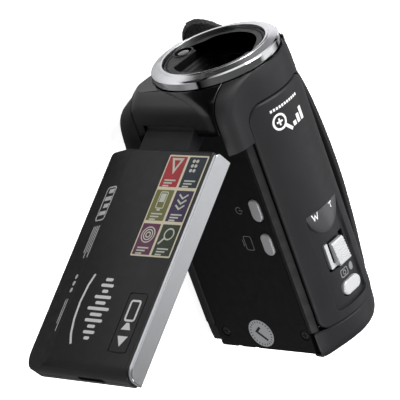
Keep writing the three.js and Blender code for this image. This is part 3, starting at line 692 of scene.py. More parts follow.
def make_lens():
    ring = [
        (RING_R, 3.7, 0.1), (RING_R - 3.4, 3.7), (RING_R - 3.4, 1.4), (LIP_R - 0.6, 1.4),
        (LIP_R - 0.6, -1.05, 0.12), (LIP_R, -1.2, 0.2),
        (LIP_R + 0.42, -1.0, 0.08), (LIP_R + 0.52, -0.8), (LIP_R + 0.72, -0.8),
        (LIP_R + 0.84, -0.95, 0.06), (RING_R - 0.5, -0.2, 0.25), (RING_R, 0.35, 0.4),
    ]
    turned = solid(lathe(fillet(ring), steps=160))
    dress("chrome_ring", turned, "case", CHROME, ["lens_ring"], sharp=50)

    lamp_hole = circle(LAMP_X, LAMP_Z, LAMP_R + 0.25, 48)
    plate = solid(prism(circle(0, 0, LIP_R - 0.75, 128), "y", 0.1, 3.0, (0.25, 0)))
    cut(plate, prism(opening(OPENING_R, OPENING_CHORD_Z), "y", -1, 4), prism(lamp_hole, "y", -1, 4))
    cut(plate, lathe([(16.4, -1), (16.75, -1), (16.7, 0.35), (16.45, 0.35)], steps=128))
    soften(plate, 0.22, 50)
    dress("lens_surround", plate, "case", RIM, ["lens_plate"])

    hood = solid(prism(circle(0, 0, 17.4, 96), "y", 3.2, 11))
    # half width, half height, corner, front and back of each step
    steps = [(11.2, 8.0, 2.4, 4, 5.9), (10.1, 7.2, 2.2, 5, 7.2), (9.0, 6.3, 2, 6, 8.4)]
    cut(hood, prism(opening(13.5, -8.7), "y", 3, 4.4),
        *[prism(round_rect(-a, a, -b, b, r), "y", front, back) for a, b, r, front, back in steps],
        prism(circle(0, 0, 7.2), "y", 8, 12), prism(circle(0, 0, 9.8), "y", 9.2, 12),
        prism(circle(LAMP_X, LAMP_Z, 3.6, 40), "y", 3, 12))
    soften(hood, 0.16, 50)
    # the lens mask wears the lighter copy of the inner plastic, painted light
    dress("lens_mask", hood, "case", MASK_PAINTED_LIGHT, ["lens_hood"])

    threads = []
    for k in range(9):
        threads += [(5.95, 9.9 + k * 0.38), (6.12, 10.09 + k * 0.38)]
    barrel = [
        (6.6, 8.9, 0.2), (9.4, 11.3, 0.2), (9.4, 27), (6.2, 27), (6.2, 13.6),
        *threads[::-1], (5.95, 8.9, 0.1),
    ]
    dress("lens_tube", solid(lathe(fillet(barrel))), "case", DARK, ["lens_barrel"])
    glass_r = 10.6
    bulge = [(glass_r * sin(radians(a)), 9.3 + glass_r * (1 - cos(radians(a)))) for a in range(0, 32, 2)]
    front = solid(lathe([*bulge, (5.6, 12.2), (0, 12.2)]))
    dress("front_element", front, "case", LENS_GLASS, ["front_lens"])

    dome = [(r, -0.15 + 0.9 * (r / LAMP_R) ** 3) for r in [k * (LAMP_R - 0.1) / 10 for k in range(11)]]
    rings = [(0, 3.0), (LAMP_R - 0.1, 3.0)]
    lamp_glass = solid(lathe([*dome, *rings[::-1]], LAMP_X, LAMP_Z, 64))
    dress("lamp_window", lamp_glass, "case", LAMP_GLASS, ["lamp_lens"])
    bezel = fillet([(LAMP_R + 0.02, 0.6), (LAMP_R + 0.02, -0.25, 0.1), (LAMP_R + 0.5, -0.25, 0.12),
                    (LAMP_R + 0.85, 0.3, 0.1), (LAMP_R + 0.85, 0.6)])
    dress("lamp_bezel", solid(lathe(bezel, LAMP_X, LAMP_Z, 64)), "case", RIM)


# ---- front end --------------------------------------------------------------------

CAP_LOW_Z, CAP_HIGH_Z = -19.75, 15.5
POCKET_Y = 17.2
SLOT_Y = 13.7
INNER_X = CAP_X - WALL


def cap_region(grow):
    """Everything that belongs to the gloss cap, grown to cut its neighbour."""
    side = solid(box(-2, 40, -5, SPLIT_Y + 1, CAP_LOW_Z - grow, CAP_HIGH_Z + grow))
    face = round_rect(-16 - grow, 19 + grow, -31 - grow, 0, 8)
    return join(side, prism(circle(0, 0, RING_R + 0.4 + grow, 128), "y", -5, 6.2), prism(face, "y", -5, 6.2))


def front_skin():
    return cut(solid(front_block(0, FRONT_Y, SPLIT_Y)), front_block(WALL, PLATE_Y + WALL, SPLIT_Y + 3))


def make_front():
    ring_seat = prism(circle(0, 0, RING_R + 0.4, 128), "y", 0, PLATE_Y)
    cap = common(front_skin(), cap_region(0))
    cut(cap, ring_seat, prism(circle(0, 0, RING_R - 4.1, 96), "y", 0, 8),
        box(17, 40, SLOT_Y, 40, HINGE_Z0, HINGE_Z1 + 1),
        box(17, 40, POCKET_Y, 40, HINGE_Z1, CAP_HIGH_Z + 0.1))
    soften(biggest(cap), 0.18, 50, 2)
    dress("front_gloss", cap, "case", GLOSS, ["front_cap"], sharp=50)

    walls = solid(box(SIDE_X + GAP, INNER_X - GAP, SPLIT_Y - WALL, SPLIT_Y, BASE_Z, HINGE_Z0 - GAP))
    shelf_z = HINGE_Z0 - GAP
    join(walls, box(SIDE_X + GAP, INNER_X - GAP, SLOT_Y - WALL, SPLIT_Y, shelf_z - WALL, shelf_z))
    common(walls, front_block(0.8, FRONT_Y, SPLIT_Y))
    band = cut(front_skin(), cap_region(GAP), ring_seat)
    join(band, walls)
    plan = round_rect(-TOP_HALF - GAP, TOP_HALF + GAP, TOP_Y0 - GAP, SPLIT_Y + 20, 6)
    pin_hole = prism(circle(HINGE.x, HINGE.y, 1.4, 32), "z", HINGE_Z0 - 4, HINGE_Z0)
    cut(band, prism(plan, "z", 10, 40), pin_hole)
    soften(biggest(band), 0.18, 50, 2)
    dress("front_band", band, "case", SATIN, ["front_shell"], sharp=50)


# ---- body shells --------------------------------------------------------------------

SIDE_LOW_Z = -27.0
SIDE_TOP_Z = CROWN_Z + CROWN_R * sin(radians(crown_angle(SIDE_X)))
BAY_X0, BAY_X1, BAY_Y0, BAY_Y1 = -17.5, 9.5, 52.0, 98.0
DOOR_X0, DOOR_X1, DOOR_Y0 = -18.2, 10.2, 50.0
DOOR_Z1 = BASE_Z + 1.5
TRIPOD_Y = 40.0
SCREWS = [(99.1, -23.0), (97.7, 13.2)]


def side_key(node):
    low, high = lens_box(node)
    return (low.y + high.y) / 2, (low.z + high.z) / 2


def make_side():
    front_z = HINGE_Z0 - GAP - WALL
    seam_z = SIDE_TOP_Z - 1.5
    plate = fillet([
        (SPLIT_Y + GAP, SIDE_LOW_Z, 0.3), (SIDE_END_Y, SIDE_LOW_Z, 0.8), (SIDE_END_Y, seam_z, 0.5),
        (SLOT_Y - WALL, seam_z), (SLOT_Y - WALL, front_z), (SPLIT_Y + GAP, front_z),
    ])
    side = solid(prism(plate, "x", SIDE_X - WALL, SIDE_X, (0, 0.2)))
    edge = [(SIDE_X, seam_z + 0.15), (SIDE_X, SIDE_TOP_Z)]
    edge += arc(CROWN_X, CROWN_Z, CROWN_R, crown_angle(SIDE_X), crown_angle(TOP_HALF + GAP), 2)[1:]
    ledge = solid(prism(strip(edge, WALL, 0.25), "y", SPLIT_Y + GAP, REAR_Y - GAP, 0.1))
    dress("side_ledge", ledge, "case", RIM)
    wells = []
    for node in ("power_button", "display_button"):
        y, z = side_key(node)
        wells.append(prism(stadium(y, z, 8.9, 5.0), "x", 10, 30))
    for y, z in SCREWS:
        wells += [prism(circle(y, z, 1.9, 32), "x", 16.4, 30), prism(circle(y, z, 0.9, 24), "x", 10, 30)]
    for z in (-18.7, -11.1):
        wells.append(box(16.8, 18, SIDE_END_Y - 0.9, SIDE_END_Y + 1, z - 0.9, z + 0.9))
    cut(side, *wells)
    soften(side, 0.12, 50, 2)
    dress("side_panel", side, "case", SIDE, ["left_housing"])

    for k, (y, z) in enumerate(SCREWS):
        head = solid(prism(circle(y, z, 1.6, 32), "x", 16.45, 17.0, (0, 0.2)))
        cut(head, *[box(16.7, 18, y - a, y + a, z - b, z + b) for a, b in ((0.95, 0.2), (0.2, 0.95))])
        join(head, prism(circle(y, z, 0.7, 20), "x", 15.5, 16.6))
        dress(f"side_screw_head_{k + 1}", head, "case", DARK, [f"side_screw_{k + 1}"])


def make_grip():
    path = [
        *arc(CROWN_X, CROWN_Z, CROWN_R, crown_angle(-TOP_HALF - GAP), 180, 40),
        *arc(GRIP_X + 8, BASE_Z + 8, 8, 180, 270, 16),
        *arc(SIDE_X - 6, BASE_Z + 6, 6, 270, 360, 12), (SIDE_X, SIDE_LOW_Z - GAP),
    ]
    shell = solid(prism(strip(path, WALL), "y", SPLIT_Y + GAP, REAR_Y - GAP, 0.2))
    ledge = solid(prism(shifted(body_section(), 0.2), "y", SPLIT_Y + 1, REAR_Y - 0.5))
    common(ledge, box(DOOR_X0 - 3, DOOR_X1 + 3, DOOR_Y0 - 3, 120, BASE_Z, DOOR_Z1 + 1.5))
    join(shell, ledge)
    doorway = round_rect(DOOR_X0 - GAP, DOOR_X1 + GAP, DOOR_Y0 - GAP, 120, 1.5)
    cut(shell, prism(doorway, "z", BASE_Z - 1, DOOR_Z1 + GAP),
        box(BAY_X0, BAY_X1, BAY_Y0, BAY_Y1, BASE_Z - 1, BASE_Z + 8),
        prism(circle(0, TRIPOD_Y, 5.2), "z", BASE_Z - 1, BASE_Z + 4))
    dress("grip_shell", shell, "case", SATIN, ["right_shell"], sharp=40)

    low, high = lens_box("tripod_socket")
    thread = []
    for k in range(9):
        thread += [(3.1, low.z + 0.6 + k * 0.62), (3.35, low.z + 0.91 + k * 0.62)]
    profile = fillet([(4.9, low.z, 0.3), (4.9, high.z), (3.1, high.z), *thread[::-1], (3.5, low.z, 0.1)])
    turns = [2 * pi * k / 64 for k in range(64)]
    socket = [[(r * cos(t), TRIPOD_Y + r * sin(t), z) for r, z in profile] for t in turns]
    dress("tripod_thread", solid(skin(socket, ring=True)), "case", STEEL, ["tripod_socket"])

    low, high = lens_box("battery_door")
    door = solid(prism(round_rect(low.x, high.x, low.y, high.y, 1.3), "z", low.z, high.z, (0.3, 0.1)))
    ribs = [prism(stadium(-4, low.y + 6 + k * 1.7, 14, 0.8), "z", low.z - 1, low.z + 0.3) for k in range(5)]
    arrow = [(-2.5, low.y + 22), (1.5, low.y + 17.5), (-6.5, low.y + 17.5)]
    cut(door, *ribs, prism(arrow, "z", low.z - 1, low.z + 0.25))
    dress("battery_lid", door, "battery_lid", SATIN, ["battery_door"])


# ---- top panel ------------------------------------------------------------------------


def bend_on_crown(obj, spacing=0.55):
    """Wraps a flat drawing (arc length, y, height) on the crown, splitting wide faces first."""
    shape = bmesh.new()
    shape.from_mesh(obj.data)
    reach = max(abs(v.co.x) for v in shape.verts)
    for k in range(int(-reach / spacing), int(reach / spacing) + 1):
        parts = [*shape.verts, *shape.edges, *shape.faces]
        at = (k * spacing, 0, 0)
        bmesh.ops.bisect_plane(shape, geom=parts, plane_co=at, plane_no=(1, 0, 0), dist=1e-5)
    for v in shape.verts:
        turn, r = v.co.x / TOP_R, TOP_R + v.co.z
        v.co = (CROWN_X + r * sin(turn), v.co.y, CROWN_Z + r * cos(turn))
    shape.to_mesh(obj.data)
    shape.free()
    return obj


TROUGH_DEPTH = 1.2
TROUGH_Y = 57.2
REST_X, REST_HALF, REST_LONG = -0.4, 8.7, 9.0
REST_FLAT = 0.15  # share of the thumb rest that stays level with the panel


def rest_height(share):
    """Height of the thumb rest, which rolls off backwards into the trough."""
    over = max(0.0, share - REST_FLAT) / (1 - REST_FLAT)
    return -TROUGH_DEPTH * (1 - sqrt(max(0.0, 1 - over ** 2)))


def on_rest(a, b, h):
    """Lifts a mark so that it lies on the thumb rest."""
    reach = REST_LONG * sqrt(1 - ((a - REST_X) / REST_HALF) ** 2)
    return a, b, h + 0.02 + rest_height(max(0.0, b - TROUGH_Y) / reach)


SLOT_RECT = (-7.6, 5.45, 69.2, 79.9)
PHOTO_RECT = (-6.3, 3.4, 85.3, 90.9)


def make_top():
    half = TOP_R * asin(TOP_HALF / TOP_R)
    plan = [
        *arc(half - 6, TOP_Y0 + 6, 6, -90, 0, 14), *arc(half - 4, REAR_Y - 4, 4, 0, 90, 12),
        *arc(-half + 4, REAR_Y - 4, 4, 90, 180, 12), *arc(-half + 6, TOP_Y0 + 6, 6, 180, 270, 14),
    ]
    panel = solid(prism(plan, "z", -2.4, 0, (0, 1.1), 7))
    cut(panel, prism(round_rect(-9.1, 8.3, TROUGH_Y, 93.3, 1.6), "z", -TROUGH_DEPTH, 1))
    cut(panel, prism(round_rect(*SLOT_RECT, 0.8), "z", -4, 2))
    cut(panel, prism(round_rect(*PHOTO_RECT, 2.75, 12), "z", -4, 2))
    soften(panel, 0.2, 50, 2)
    dress("top_cover", bend_on_crown(panel), "case", SATIN, ["top_panel"], sharp=40)


def make_thumb_rest():
    """A half disc between the level panel and the trough, rolled off at its back."""
    shares = [sin(pi / 2 * k / 16) for k in range(16, -1, -1)]
    rows = []
    for share, level in [(1, -1.6), *[(share, rest_height(share)) for share in shares]]:
        rim = [(a, TROUGH_Y + REST_LONG * share * b) for a, b in arc(0, 0, 1, 0, 180, 48)]
        front = [(-1, TROUGH_Y - 0.6), (1, TROUGH_Y - 0.6)]
        rows.append([(REST_X + REST_HALF * a, b, level) for a, b in rim + front])
    rest = bend_on_crown(solid(skin(rows)))
    # the thumb rest's lighter tone is a painted highlight
    dress("thumb_rest", rest, "case", THUMB_PAINTED_HIGHLIGHT, sharp=60)


def make_top_keys():
    low, high = lens_box("photo_button")
    cap = solid(prism(round_rect(-6.0, 3.1, 85.6, 90.6, 2.45, 14), "z", low.z, high.z, (0, 0.6), 6))
    join(cap, prism(round_rect(low.x, high.x, low.y, high.y, 2.9, 12), "z", low.z, low.z + 1))
    dress("photo_key_cap", cap, "photo_key", SILVER, ["photo_button"])

    low, high = lens_box("zoom_slider")
    profile = [(low.y, 22.2), (high.y, 22.2), (high.y, 24.3)]
    pitch = 0.98
    for k in range(8):
        y = high.y - 0.25 - k * pitch
        rise = 24.42 - k * 0.11
        profile += [(y, rise), (y - 0.22, rise + 0.28), (y - 0.5, rise + 0.28), (y - 0.72, rise)]
    profile.append((low.y, 23.4))
    dress("zoom_thumb_plate", solid(prism(profile, "x", low.x, high.x, 0.15, 3)), "zoom_slide", SILVER,
          ["zoom_slider"], sharp=25)

    low, high = lens_box("zoom_carrier")
    base = solid(prism(round_rect(low.x + 1.1, high.x, low.y, high.y, 0.5), "z", low.z, 21.6, (0, 0.2)))
    dress("zoom_carrier_plate", base, "zoom_slide", DARK, ["zoom_carrier"])
    corners = [(2.5, low.y + 0.2), (high.x, low.y + 0.2), (high.x, high.y), (0.7, high.y),
               (0.7, high.y - 1.5), (2.5, high.y - 1.5)]
    foot = fillet([(*corner, 0.3) for corner in corners])
    index_bar = solid(prism(foot, "z", 21.3, 22.7, (0, 0.2)))
    dress("zoom_index_bar", index_bar, "zoom_slide", SILVER)


# ---- back end ---------------------------------------------------------------------------

PANEL_RECT = (-16.5, 11.5, -24.0, 13.0)
PORT_RECT = (3.6, 10.2, -22.0, -5.0)
# radius, and the gap round it
REAR_KEYS = {
    "record_button": (4.6, 0.3), "navigation_pad": (6.0, 0.4), "mode_button": (1.9, 0.3),
    "menu_button": (1.9, 0.3), "status_light": (0.7, 0.2),
}


def grown(rect, by):
    a0, a1, b0, b1 = rect
    return a0 - by, a1 + by, b0 - by, b1 + by


def make_rear():
    rows = [*REAR_LIP, *smooth_rows(REAR_ROWS, 4)[1:]]
    shell = solid(skin([rear_section(y, inset) for y, inset in rows]))
    inside = [(REAR_Y - 1, WALL), (102.2, WALL + 1), (102.8, WALL + 1.6)]
    hollow = skin([[(a, y, b) for a, b in body_section(inset)] for y, inset in inside])
    cut(shell, hollow, box(-40, 40, BACK_Y, 120, -40, 14.2),
        box(SIDE_X - WALL - 2 * GAP, 40, 0, SIDE_END_Y + GAP, -40, 17.2),
        prism(round_rect(*grown(PANEL_RECT, GAP), 3), "y", 103.5, 110), box(-16, 10.5, 100, 110, -23, 12),
        box(DOOR_X0 - GAP, DOOR_X1 + GAP, 0, 120, BASE_Z - 1, DOOR_Z1 + GAP))
    soften(biggest(shell), 0.2, 45, 2)
    dress("rear_cover", shell, "case", SATIN, ["rear_shell"], sharp=50)

    panel = solid(prism(round_rect(*PANEL_RECT, 2.7), "y", 103.8, 104.8, (0, 0.2)))
    holes = [prism(round_rect(*grown(PORT_RECT, GAP), 1.3), "y", 100, 110)]
    for node, (_, gap) in REAR_KEYS.items():
        x, z, r = rear_key(node)
        holes.append(prism(circle(x, z, r + gap, 64), "y", 100, 110))
    cut(panel, *holes)
    soften(panel, 0.15, 50, 2)
    dress("rear_fascia", panel, "case", GLOSS, ["control_panel"])


def rear_key(node):
    low, high = lens_box(node)
    return (low.x + high.x) / 2, (low.z + high.z) / 2, REAR_KEYS[node][0]


def make_rear_keys():
    for node, body, proud in (("record_button", "record_key", 1.2), ("mode_button", "mode_key", 0.5),
                              ("menu_button", "menu_key", 0.5)):
        x, z, r = rear_key(node)
        face = 104.8 + proud
        profile = fillet([(0, 102.4), (r + 0.8, 102.4), (r + 0.8, 103.4), (r, 103.4), (r, face, 0.35),
                          (r * 0.72, face - 0.25, 1.0), (0, face - 0.3)])
        dress(f"{body}_cap", solid(lathe(profile, x, z)), body, SILVER, [node])
        if node == "record_button":
            dot = fillet([(0, face - 0.4), (1.5, face - 0.4), (1.5, face - 0.16, 0.1), (0, face - 0.12)])
            dress("record_dot", solid(lathe(dot, x, z, 48)), body, RED)
    x, z, r = rear_key("navigation_pad")
    dish = fillet([(0, 102.4), (r, 102.9, 0.2), (r, 105.0), (r - 0.5, 105.45, 0.3), (2.9, 104.95, 0.5),
                   (2.7, 104.7), (2.5, 104.7), (2.35, 105.5, 0.25), (0, 105.35)])
    dress("pad_dial", solid(lathe(dish, x, z)), "pad", SILVER, ["navigation_pad"])
    marks = []
    for turn in range(4):
        outline = [(3.7, -0.55), (4.6, 0), (3.7, 0.55)]
        c, s = cos(turn * pi / 2), sin(turn * pi / 2)
        spun = [(x + a * c - b * s, z + a * s + b * c) for a, b in outline]
        marks.append(prism(spun, "y", 105.0, 105.32))
    dress("pad_arrows", solid(together(*marks)), "pad", DARK)
    x, z, r = rear_key("status_light")
    lens = fillet([(0, 102.6), (r, 102.6), (r, 104.9, 0.2), (0, 105.0)])
    dress("status_window", solid(lathe(lens, x, z, 32)), "case", RED, ["status_light"])

    low, high = lens_box("port_cover")
    flap = solid(prism(round_rect(low.x, high.x, low.z, high.z, 1), "y", low.y, high.y, (0, 0.25)))
    cut(flap, prism(stadium((low.x + high.x) / 2, high.z - 1.6, 3.2, 1.1), "y", high.y - 0.4, high.y + 1))
    dress("port_flap_cover", flap, "port_flap", RUBBER, ["port_cover"])


# ---- side keys ---------------------------------------------------------------------------


def make_side_keys():
    for node, body in (("power_button", "power_key"), ("display_button", "display_key")):
        low, high = lens_box(node)
        y, z = side_key(node)
        cap = solid(prism(stadium(y, z, 8.3, 4.4, 18), "x", low.x, high.x, (0, 0.55), 6))
        join(cap, prism(stadium(y, z, 9.7, 5.8), "x", low.x, low.x + 1))
        dress(f"{body}_cap", cap, body, SILVER, [node])


# ---- fold-out screen, drawn closed ---------------------------------------------------------


def screen_plan(grow, back_x=SCREEN_X0 - 1):
    """Plan of the screen unit in (x, y): tight front corner, generous rear corner."""
    x, y0, y1 = SCREEN_X1 - grow, SCREEN_Y0 + grow, SCREEN_Y1 - grow
    return [(back_x, y0), *arc(x - 1.5, y0 + 1.5, 1.5, -90, 0, 10), *arc(x - 4, y1 - 4, 4, 0, 90, 20),
            (back_x, y1)]


def screen_face(grow):
    """The screen unit's outline in (y, z), with its generous lower corner at the free end."""
    y0, y1, z0, z1 = SCREEN_Y0 + grow, SCREEN_Y1 - grow, SCREEN_Z0 + grow, COVER_TOP - grow
    foot = SCREEN_FOOT_R - grow
    return [
        *arc(y1 - foot, z0 + foot, foot, -90, 0, 20), *arc(y1 - 1.2, z1 - 1.2, 1.2, 0, 90, 8),
        *arc(y0 + 1.2, z1 - 1.2, 1.2, 90, 180, 8), *arc(y0 + 1.5, z0 + 1.5, 1.5, 180, 270, 8),
    ]


def below_crease(inset):
    """The wedge that is sliced off the cover under its crease, moved in by inset."""
    slope = (SCREEN_X1 - COVER_FOOT) / (CREASE_Z - SCREEN_Z0)
    line = [(SCREEN_X1 - inset + slope * over, CREASE_Z + over) for over in (-20, 8)]
    return prism([line[0], (40, CREASE_Z - 20), (40, CREASE_Z + 8), line[1]], "y", 0, 120)


PLATE_RECT = (77.3, 97.7, 7.9, 15.7)


def groove(outline, width):
    """A closed channel along a (y, z) outline on the cover's face."""
    outer, inner = shifted(outline, -width / 2), shifted(outline, width / 2)
    depth = (SCREEN_X1 - 0.3, SCREEN_X1 + 1)
    rows = [[(x, *p) for x, p in ((depth[0], o), (depth[1], o), (depth[1], i), (depth[0], i))]
            for o, i in zip(outer, inner)]
    return skin(rows, ring=True)


def make_screen():
    cover = solid(prism(screen_plan(0), "z", SCREEN_Z0, COVER_TOP, (0.4, 0.6), 6))
    cut(cover, below_crease(0), box(0, SCREEN_SPLIT + 0.1, 0, 120, -50, 50))
    common(cover, prism(screen_face(0), "x", 0, SCREEN_X1 + 2))
    hollow = cut(solid(prism(screen_plan(1.2), "z", SCREEN_Z0 + 1.2, COVER_TOP - 1.2)), below_crease(1.2))
    common(hollow, prism(screen_face(1.2), "x", 0, SCREEN_X1 + 2))
    shaft = prism(circle(HINGE.x, TWIST_Z, 2.3, 32), "y", 20, 34)
    nail = prism(stadium(1.0, 21.1, 11.8, 2.4), "y", SCREEN_Y1 - 0.9, SCREEN_Y1 + 2)
    nail = ([(z, y, x) for x, y, z in nail[0]], nail[1])
    cut(cover, hollow, shaft, nail, groove(round_rect(*PLATE_RECT, 0.9), 0.4))
    dress("display_cover", cover, "screen", COVER, ["screen_cover"], SCREEN, 40)

    trim = solid(prism(screen_plan(0.4, SCREEN_X0 + 0.3), "z", SCREEN_Z1 - 1.4, SCREEN_Z1, (0.1, 0.3)))
    dress("display_trim", trim, "screen", TRIM, ["screen_edge_trim"], SCREEN, 40)

    bezel = solid(prism(screen_face(0), "x", SCREEN_X0, SCREEN_SPLIT - 0.2, (0.3, 0.1)))
    cut(bezel, prism(round_rect(33, 98.5, -27, 16.4, 0.8), "x", SCREEN_X0 - 1, SCREEN_SPLIT + 1), shaft, nail)
    soften(bezel, 0.12, 50, 2)
    dress("display_bezel", bezel, "screen", DARK, ["screen_frame"], SCREEN, 40)
    pane = round_rect(33.3, 98.2, -26.7, 16.1, 0.6)
    glass = solid(prism(pane, "x", SCREEN_X0 + 0.3, SCREEN_X0 + 1.1, (0.1, 0)))
    dress("display_window", glass, "screen", SCREEN_GLASS, ["screen_glass"], SCREEN)


def make_hinge():
    x, y = HINGE.x, HINGE.y
    knuckle = arc(x, y, 3, 180, 360 + degrees(acos(2 / 3)), 40)
    outline = [*knuckle, (x + 2, SCREEN_Y0 - GAP), (x - 3, SCREEN_Y0 - GAP)]
    low, high = HINGE_Z0 + GAP, HINGE_Z1 - GAP
    block = solid(prism(outline, "z", low, high, 0.3))
    cut(block, prism(circle(x, y, 1.4, 32), "z", low - 1, high + 1),
        prism(circle(x, TWIST_Z, 1.7, 32), "y", 20.4, SCREEN_Y0))
    dress("hinge_arm", block, "screen_arm", HINGE_GREY, ["hinge_block"], SCREEN)


# ---- printed marks, all generic --------------------------------------------------------------


def ribbon(path, width, height=0.05, closed=False):
    """A thin raised line along a flat path, as (u, v, height) mesh data."""
    left = shifted(path, width / 2, closed)
    right = shifted(path, -width / 2, closed)
    rows = [[(*a, 0.0), (*b, 0.0), (*b, height), (*a, height)] for a, b in zip(left, right)]
    return skin(rows, ring=closed)


def patch(outline, height=0.05):
    return prism(outline, "z", 0.0, height)


def bar(u0, u1, v0, v1, height=0.05):
    return patch([(u0, v0), (u1, v0), (u1, v1), (u0, v1)], height)


def on_cover(u, v, h):
    return SCREEN_X1 + h, u, v


SLOPE = atan2(SCREEN_X1 - COVER_FOOT, CREASE_Z - SCREEN_Z0)


def on_slope(u, v, h):
    """The cover below its crease: v runs down from the crease, as a negative number."""
    x = SCREEN_X1 + v * sin(SLOPE) + h * cos(SLOPE)
    return x, u, CREASE_Z + v * cos(SLOPE) - h * sin(SLOPE)


def on_side(u, v, h):
    return SIDE_X + h, u, v


def mark(name, parts, where, body, look, place=CASE):
    verts, faces = together(*parts)
    dress(name, solid(([where(*p) for p in verts], faces)), body, look, place=place)


def crown_mark(name, parts, look):
    dress(name, bend_on_crown(solid(together(*parts)), 0.8), "case", look)


TILES = [("a8262c", "1c2733"), ("6d6c34", "33244a"), ("5e2a49", "26331f")]
STICKER = (28.2, 64.5, 1.0, 18.2)


def tile_icon(k, u, v):
    """A plain pictogram for each tile."""
    if k == 0:
        return [ribbon([(u - 3, v - 2), (u + 1.5, v), (u - 3, v + 2)], 0.8, 0.03, True)]
    if k == 1:
        dots = [(u - 2.5 + 1.7 * (i % 3), v - 1.4 + 1.5 * (i // 3)) for i in range(6)]
        return [patch(circle(*dot, 0.62, 16), 0.03) for dot in dots]
    if k == 2:
        body = ribbon(round_rect(u - 3.2, u + 2.6, v - 1.6, v + 1.6, 0.5, 4), 0.35, 0.03, True)
        cap = bar(u + 2.9, u + 3.5, v - 0.7, v + 0.7, 0.03)
        return [body, cap, bar(u - 2.6, u + 0.4, v - 1.1, v + 1.1, 0.03)]
    if k == 3:
        backs = [u - 2.6 + i * 1.9 for i in range(3)]
        return [ribbon([(a, v - 1.9), (a + 1.4, v), (a, v + 1.9)], 0.6, 0.03) for a in backs]
    if k == 4:
        return [ribbon(circle(u, v, r, 32), 0.4, 0.03, True) for r in (0.9, 1.8, 2.7)]
    return [ribbon(circle(u - 0.6, v + 0.3, 1.9, 32), 0.5, 0.03, True),
            ribbon([(u + 0.8, v - 1.0), (u + 3.0, v - 2.9)], 0.7, 0.03)]


def make_cover_marks():
    y0, y1, z0, z1 = STICKER
    paper = patch(round_rect(y0, y1, z0, z1, 0.4, 4), 0.06)
    mark("sticker_paper", [paper], on_cover, "screen", PAPER, SCREEN)
    long, wide = (y1 - y0) / 3, (z1 - z0) / 2
    for row, colours in enumerate(TILES):
        for column, code in enumerate(colours):
            k = row * 2 + column
            u0, v0 = y0 + row * long + 0.55, z0 + column * wide + 0.5
            tile = round_rect(u0, u0 + long - 1.1, v0, v0 + wide - 1.0, 0.2, 3)
            look = finish(f"sticker_ink_{k + 1}", code, 0.45, grain=0.4, depth=0.001, mottle=0.35)
            name = f"sticker_tile_{k + 1}"
            mark(name, [patch(tile, 0.03)], lambda u, v, h: on_cover(u, v, h + 0.06), "screen", look, SCREEN)
            u, v = u0 + (long - 1.1) * 0.36, v0 + (wide - 1.0) / 2
            lines = [bar(u + 4.4 + i, u + 4.9 + i, v - 2.4, v + 2.4 - 1.1 * i, 0.03) for i in range(3)]
            icon = [*tile_icon(k, u, v), *lines]
            name = f"sticker_icon_{k + 1}"
            mark(name, icon, lambda u, v, h: on_cover(u, v, h + 0.09), "screen", ICON, SCREEN)

    y0, y1, z0, z1 = PLATE_RECT
    middle = (z0 + z1) / 2
    film = [ribbon(round_rect(y0 + 2.6, y0 + 9.4, middle - 2.0, middle + 2.0, 0.7, 4), 0.7, 0.05, True),
            patch([(y0 + 10.2, middle - 0.6), (y0 + 12.6, middle - 2.0), (y0 + 12.6, middle + 2.0),
                   (y0 + 10.2, middle + 0.6)]),
            patch([(y0 + 14.8, middle - 2.2), (y0 + 18.4, middle), (y0 + 14.8, middle + 2.2)])]
    mark("plate_pictogram", film, on_cover, "screen", WHITE_INK, SCREEN)

    heights = (3.2, 5.4, 2.6, 7.2, 4.4, 9.4, 5.2, 7.6, 3.4, 5.0, 2.4)
    waves = []
    for k, tall in enumerate(heights):
        y, z = 73.5 + k * 2.05, -3.4
        waves.append(patch(round_rect(y - 0.55, y + 0.55, z - tall / 2, z + tall / 2, 0.5, 4)))
    swoosh = [(72.0, -10.6), (76, -11.8), (82, -12.4), (88, -12.0), (93, -10.8), (96.5, -9.2)]
    waves.append(ribbon(swoosh, 0.8))
    mark("cover_wave_mark", waves, on_cover, "screen", WHITE_INK, SCREEN)

    down = [bar(41 + k * 2.7, 42.5 + k * 2.7, -4.8 - (k % 2), -1.6, 0.04) for k in range(4)]
    down.append(ribbon(round_rect(40.2, 52.4, -6.6, -0.9, 1.0, 4), 0.45, 0.04, True))
    down += [bar(54.6, 66.2 - 2.0 * (k % 2), -1.9 - k * 1.2, -1.5 - k * 1.2, 0.04) for k in range(4)]
    down += [patch(circle(73 + k * 2.4, -3.2, 0.85, 24), 0.04) for k in range(3)]
    down += [bar(81, 92.4, -3.0, -2.6, 0.04), bar(81, 89.6, -4.2, -3.8, 0.04)]
    mark("cover_strip_mark", down, on_slope, "screen", WHITE_INK, SCREEN)


SEAL_AT = (98.5, -6.5)


